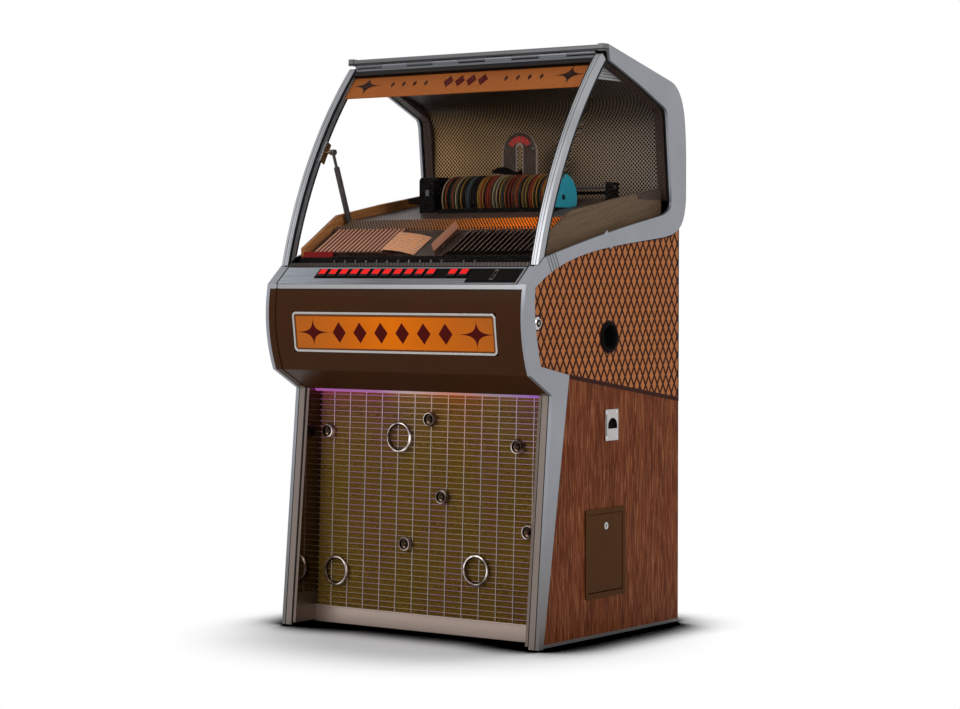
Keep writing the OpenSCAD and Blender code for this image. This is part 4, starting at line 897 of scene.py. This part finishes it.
# %% [markdown]
# Sheet metal, mouldings and wood never end in a knife edge. The visible solids are copied and every hard corner
# gets a small round, which is what makes a long edge catch a line of light. Each copy stands for its solid and
# rides the same body.

# %% Softened copies
def round_edges(piece, width, segments=2):
    bpy.context.view_layer.objects.active = piece
    rounding = piece.modifiers.new("round", "BEVEL")
    rounding.width = width
    rounding.segments = segments
    rounding.limit_method = "ANGLE"
    rounding.angle_limit = math.radians(32)
    bpy.ops.object.modifier_apply(modifier=rounding.name)
    smooth()
    levelled = piece.modifiers.new("level", "WEIGHTED_NORMAL")
    levelled.keep_sharp = True
    bpy.ops.object.modifier_apply(modifier=levelled.name)


def stand_for(piece, name):
    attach(piece, body_of_node[name])
    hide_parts(name)


def soften(name, width, segments=2):
    piece = own_copy(name)
    piece.name = "soft_" + name
    round_edges(piece, width, segments)
    stand_for(piece, name)
    return piece


softened = {"side_trim_left": 0.0016, "side_trim_right": 0.0016, "top_bar": 0.0012, "button_shelf": 0.0014,
            "sign_bezel": 0.0012, "coin_plate": 0.0008, "cash_door": 0.001, "door_frame": 0.001, "drive_unit": 0.002,
            "grille_frame": 0.0006, "fascia": 0.0012, "lid_frame": 0.0018, "disc_tray": 0.001, "gripper_arm": 0.0008,
            "inner_cheeks": 0.001, "light_strip": 0.001, "control_plates": 0.0004}
for name, width in softened.items():
    made = soften(name, width)
    print(made.name, len(made.data.polygons))
for name in keys:
    soften(name, 0.0014, 3)
print("softened:", len(softened) + len(keys))

# %% [markdown]
# The speakers sit behind a board that is wrapped in cloth. The wrapped board is one slab with soft edges, so the
# woofers stay hidden behind the weave as they do on the real machine.

# %% Cloth panel
def start_box(name, low, high):
    bpy.ops.object.select_all(action="DESELECT")
    bpy.ops.mesh.primitive_cube_add(size=1, location=[(a + b) / 2 for a, b in zip(low, high)])
    piece = bpy.context.object
    piece.name = name
    piece.scale = [b - a for a, b in zip(low, high)]
    bake_place()
    return piece


def tilt_in(piece, turn, shift):
    """Turns a piece about x and moves it, then bakes its place into the mesh."""
    only(piece)
    piece.rotation_euler = (turn, 0, 0)
    piece.location = shift
    bake_place()


GRILLE_TILT = -math.radians(1.96)
GRILLE_FOOT = (0, -0.215, 0)
cloth = start_box("cloth_panel", (-0.3577, 0.0046, 0.023), (0.3577, 0.0224, 0.609))
edit_all()
bpy.ops.mesh.subdivide(number_cuts=6)
bpy.ops.object.mode_set(mode="OBJECT")
round_edges(cloth, 0.002, 3)
tilt_in(cloth, GRILLE_TILT, GRILLE_FOOT)
cloth.data.materials.append(fabric.material)
stand_for(cloth, "grille_baffle")
print("cloth panel:", len(cloth.data.polygons))

# %% [markdown]
# Pale key names stand on the sloping strip behind the buttons: plain figures over the number keys, a C over the
# clear key and two arrows over the page keys. Each is a flat letter turned into a mesh and joined to the others.

# %% Key legends
def hand_over(piece, finish, rides):
    """Gives a piece its finish and its body."""
    piece.data.materials.append(finish.material)
    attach(piece, rides)
    return piece


legend_white = plain("legend_white", [(0.17, 0.14, 0.12), (0.26, 0.22, 0.19)], 90, (0.4, 0.6))
# painted light: the printed figures glow faintly, though they are no lamp
legend_white.set("Emission Color", (0.8, 0.75, 0.65, 1))
legend_white.set("Emission Strength", 0.03)
STRIP_TURN = math.radians(62.8)
STRIP_Y, STRIP_Z, LETTER = -0.2778, 0.9275, 0.011
places = [-0.2435 + 0.034 * i for i in range(11)] + [0.1625, 0.1965]
marks = []
for label, x in zip("1234567890C<>", places):
    bpy.ops.object.select_all(action="DESELECT")
    bpy.ops.object.text_add(location=(x, STRIP_Y, STRIP_Z), rotation=(STRIP_TURN, 0, 0))
    mark = bpy.context.object
    mark.data.body = label
    mark.data.align_x = "CENTER"
    mark.data.align_y = "CENTER"
    mark.data.size = LETTER
    mark.data.extrude = 0.0001
    bpy.ops.object.convert(target="MESH")
    marks.append(bpy.context.object)
only(marks[0])
for mark in marks:
    mark.select_set(True)
bpy.ops.object.join()
legends = bpy.context.object
legends.name = "key_legends"
bake_place()
hand_over(legends, legend_white, "cabinet")
print("legends:", len(legends.data.polygons))

# %% [markdown]
# A locksmith's cylinder shows a turned collar and a key slot. The collars are turned on a lathe: a short
# profile spun about the axis. The slot is a small dark bar sunk in the face.

# %% Key locks
def turned(name, profile, centre, finish, rides, axis=(1, 0, 0)):
    """Spins [distance along the axis, radius] pairs about an axis through centre."""
    mesh = bpy.data.meshes.new(name)
    points = [Vector(axis) * along + Vector((0, 0, radius)) for along, radius in profile]
    mesh.from_pydata(points, [(i, i + 1) for i in range(len(points) - 1)], [])
    piece = bpy.data.objects.new(name, mesh)
    scene.collection.objects.link(piece)
    only(piece)
    edit_all()
    bpy.ops.mesh.spin(steps=32, angle=2 * math.pi, center=(0, 0, 0), axis=axis)
    bpy.ops.mesh.select_all(action="SELECT")
    bpy.ops.mesh.remove_doubles(threshold=1e-6)
    bpy.ops.mesh.normals_make_consistent(inside=False)
    bpy.ops.object.mode_set(mode="OBJECT")
    piece.location = centre
    bake_place()
    smooth()
    return hand_over(piece, finish, rides)


def finished_box(name, low, high, width, finish, rides, tilt=None):
    """A small moulded block with rounded edges; tilt gives (turn, shift) onto a sloping face."""
    piece = start_box(name, low, high)
    edit_all()
    bpy.ops.mesh.inset(thickness=width * 0.8, use_individual=True)
    bpy.ops.object.mode_set(mode="OBJECT")
    round_edges(piece, width)
    if tilt:
        tilt_in(piece, *tilt)
    return hand_over(piece, finish, rides)


for name, rides, x, y, z, radius, finish in [
        ("side_lock_barrel", "side_lock", 0.394, LOCK_Y, LOCK_Z, 0.0085, lock_chrome),
        ("cash_lock_barrel", "cash_lock", 0.393, 0.001, 0.277, 0.0062, bright_trim)]:
    collar = [(0, 0), (0.0002, radius * 0.7), (0.0008, radius * 0.75), (0.0012, radius * 0.82), (0.0008, radius),
              (0, radius)]
    turned(name, collar, (x, y, z), finish, rides)
    finished_box(name + "_slot", (x - 0.001, y - 0.0007, z - 0.0035), (x + 0.0006, y + 0.0007, z + 0.0035), 0.0002,
                 black_plastic, rides)
print("locks:", [o.name for o in scene.objects if "_barrel" in o.name])

# %% [markdown]
# The coin entry has a bright pressed frame round its slot, the player's arch is held by four round-headed
# screws, and the drive unit carries a grey connector plate. Four more screws hold the coin plate. Under the
# roof's front corner sits the ribbed end of the lamp cover.

# %% Small fittings
SHELF = (math.radians(41.27), (0, -0.352, 0.872))
FRAME_LOW, FRAME_HIGH = 0.0004, 0.0026
for side, (x0, x1, y0, y1) in {
        "left": (0.2835, 0.2872, 0.0165, 0.0515), "right": (0.2918, 0.2955, 0.0165, 0.0515),
        "low": (0.2872, 0.2918, 0.0165, 0.0180), "high": (0.2872, 0.2918, 0.0490, 0.0515)}.items():
    finished_box("slot_frame_" + side, (x0, y0, FRAME_LOW), (x1, y1, FRAME_HIGH), 0.0006, ring_chrome, "cabinet",
                 SHELF)
round_head = [(0.0, 0.0034), (-0.0008, 0.0032), (-0.0017, 0.0022), (-0.0021, 0.0)]
for i, (x, z) in enumerate([(-0.041, 1.160), (0.051, 1.160), (-0.036, 1.222), (0.046, 1.222)]):
    turned("arch_screw_%d" % (i + 1), round_head, (x, 0.178, z), dark_rod, "player_carriage", (0, 1, 0))
pale_rib = plain("pale_rib", [(0.20, 0.20, 0.20), (0.30, 0.30, 0.30)], 40, (0.35, 0.5), 0.05)
connector_grey = plain("connector_grey", [(0.06, 0.06, 0.06), (0.10, 0.10, 0.10)], 60, (0.35, 0.5), 0.1)
finished_box("drive_connector", (-0.2035, 0.0482, 1.100), (-0.1935, 0.0503, 1.116), 0.0007, connector_grey, "cabinet")
flat_head = [(0.0, 0.0026), (0.0007, 0.0024), (0.0012, 0.0016), (0.0014, 0.0)]
for i, z in enumerate((0.4935, 0.5555)):
    for j, y in enumerate((0.0085, 0.0495)):
        turned("coin_screw_%d%d" % (i, j), flat_head, (0.391, y, z), rod_steel, "cabinet")
RIB_FOOT, RIB_PITCH, RIB_REACH, RIB_SLOPE = 1.3775, 0.007, 0.19, 2.98
for i in range(6):
    low = RIB_FOOT + RIB_PITCH * i
    reach = RIB_REACH - RIB_SLOPE * RIB_PITCH * i
    finished_box("lamp_rib_%d" % (i + 1), (0.351, 0.002, low), (0.356, reach, low + 0.0062), 0.0022, pale_rib,
                 "cabinet")

# %% [markdown]
# One title page lies open over the left stack. It is a bent sheet: a fine grid whose points rise along a
# gentle curve, given the thickness of laminated card.

# %% Open page
PAGE_X, PAGE_WIDE, PAGE_Y, PAGE_HIGH = -0.108, 0.098, 0.005, 0.087
page_light = Finish("page_light", roughness=0.35)
lines = page_light.above(page_light.part(page_light.scaled(page_light.y, 130.0)), 0.6)
spots = page_light.noise((90, 40, 40), 2)
words = page_light.both(lines, page_light.above(spots, 0.48))
warm = page_light.mix(spots, (0.40, 0.13, 0.03), (0.55, 0.30, 0.18))
page_light.set("Base Color", page_light.mix(words, warm, (0.25, 0.13, 0.08)))
bpy.ops.object.select_all(action="DESELECT")
bpy.ops.mesh.primitive_grid_add(x_subdivisions=14, y_subdivisions=4, size=1)
leaf = bpy.context.object
leaf.name = "open_page"
for point in leaf.data.vertices:
    u, v = point.co.x + 0.5, point.co.y + 0.5
    curl = 0.0175 - 0.0155 * u ** 1.5 + 0.0012 * math.sin(3.0 * u)
    point.co = (PAGE_X + PAGE_WIDE * u, PAGE_Y + PAGE_HIGH * v, curl)
thick = leaf.modifiers.new("card", "SOLIDIFY")
thick.thickness = 0.0006
bpy.ops.object.modifier_apply(modifier=thick.name)
smooth()
tilt_in(leaf, math.radians(30.56), (0, -0.255, 0.940))
hand_over(leaf, page_light, "cabinet")
print("open page:", len(leaf.data.polygons))

# %% [markdown]
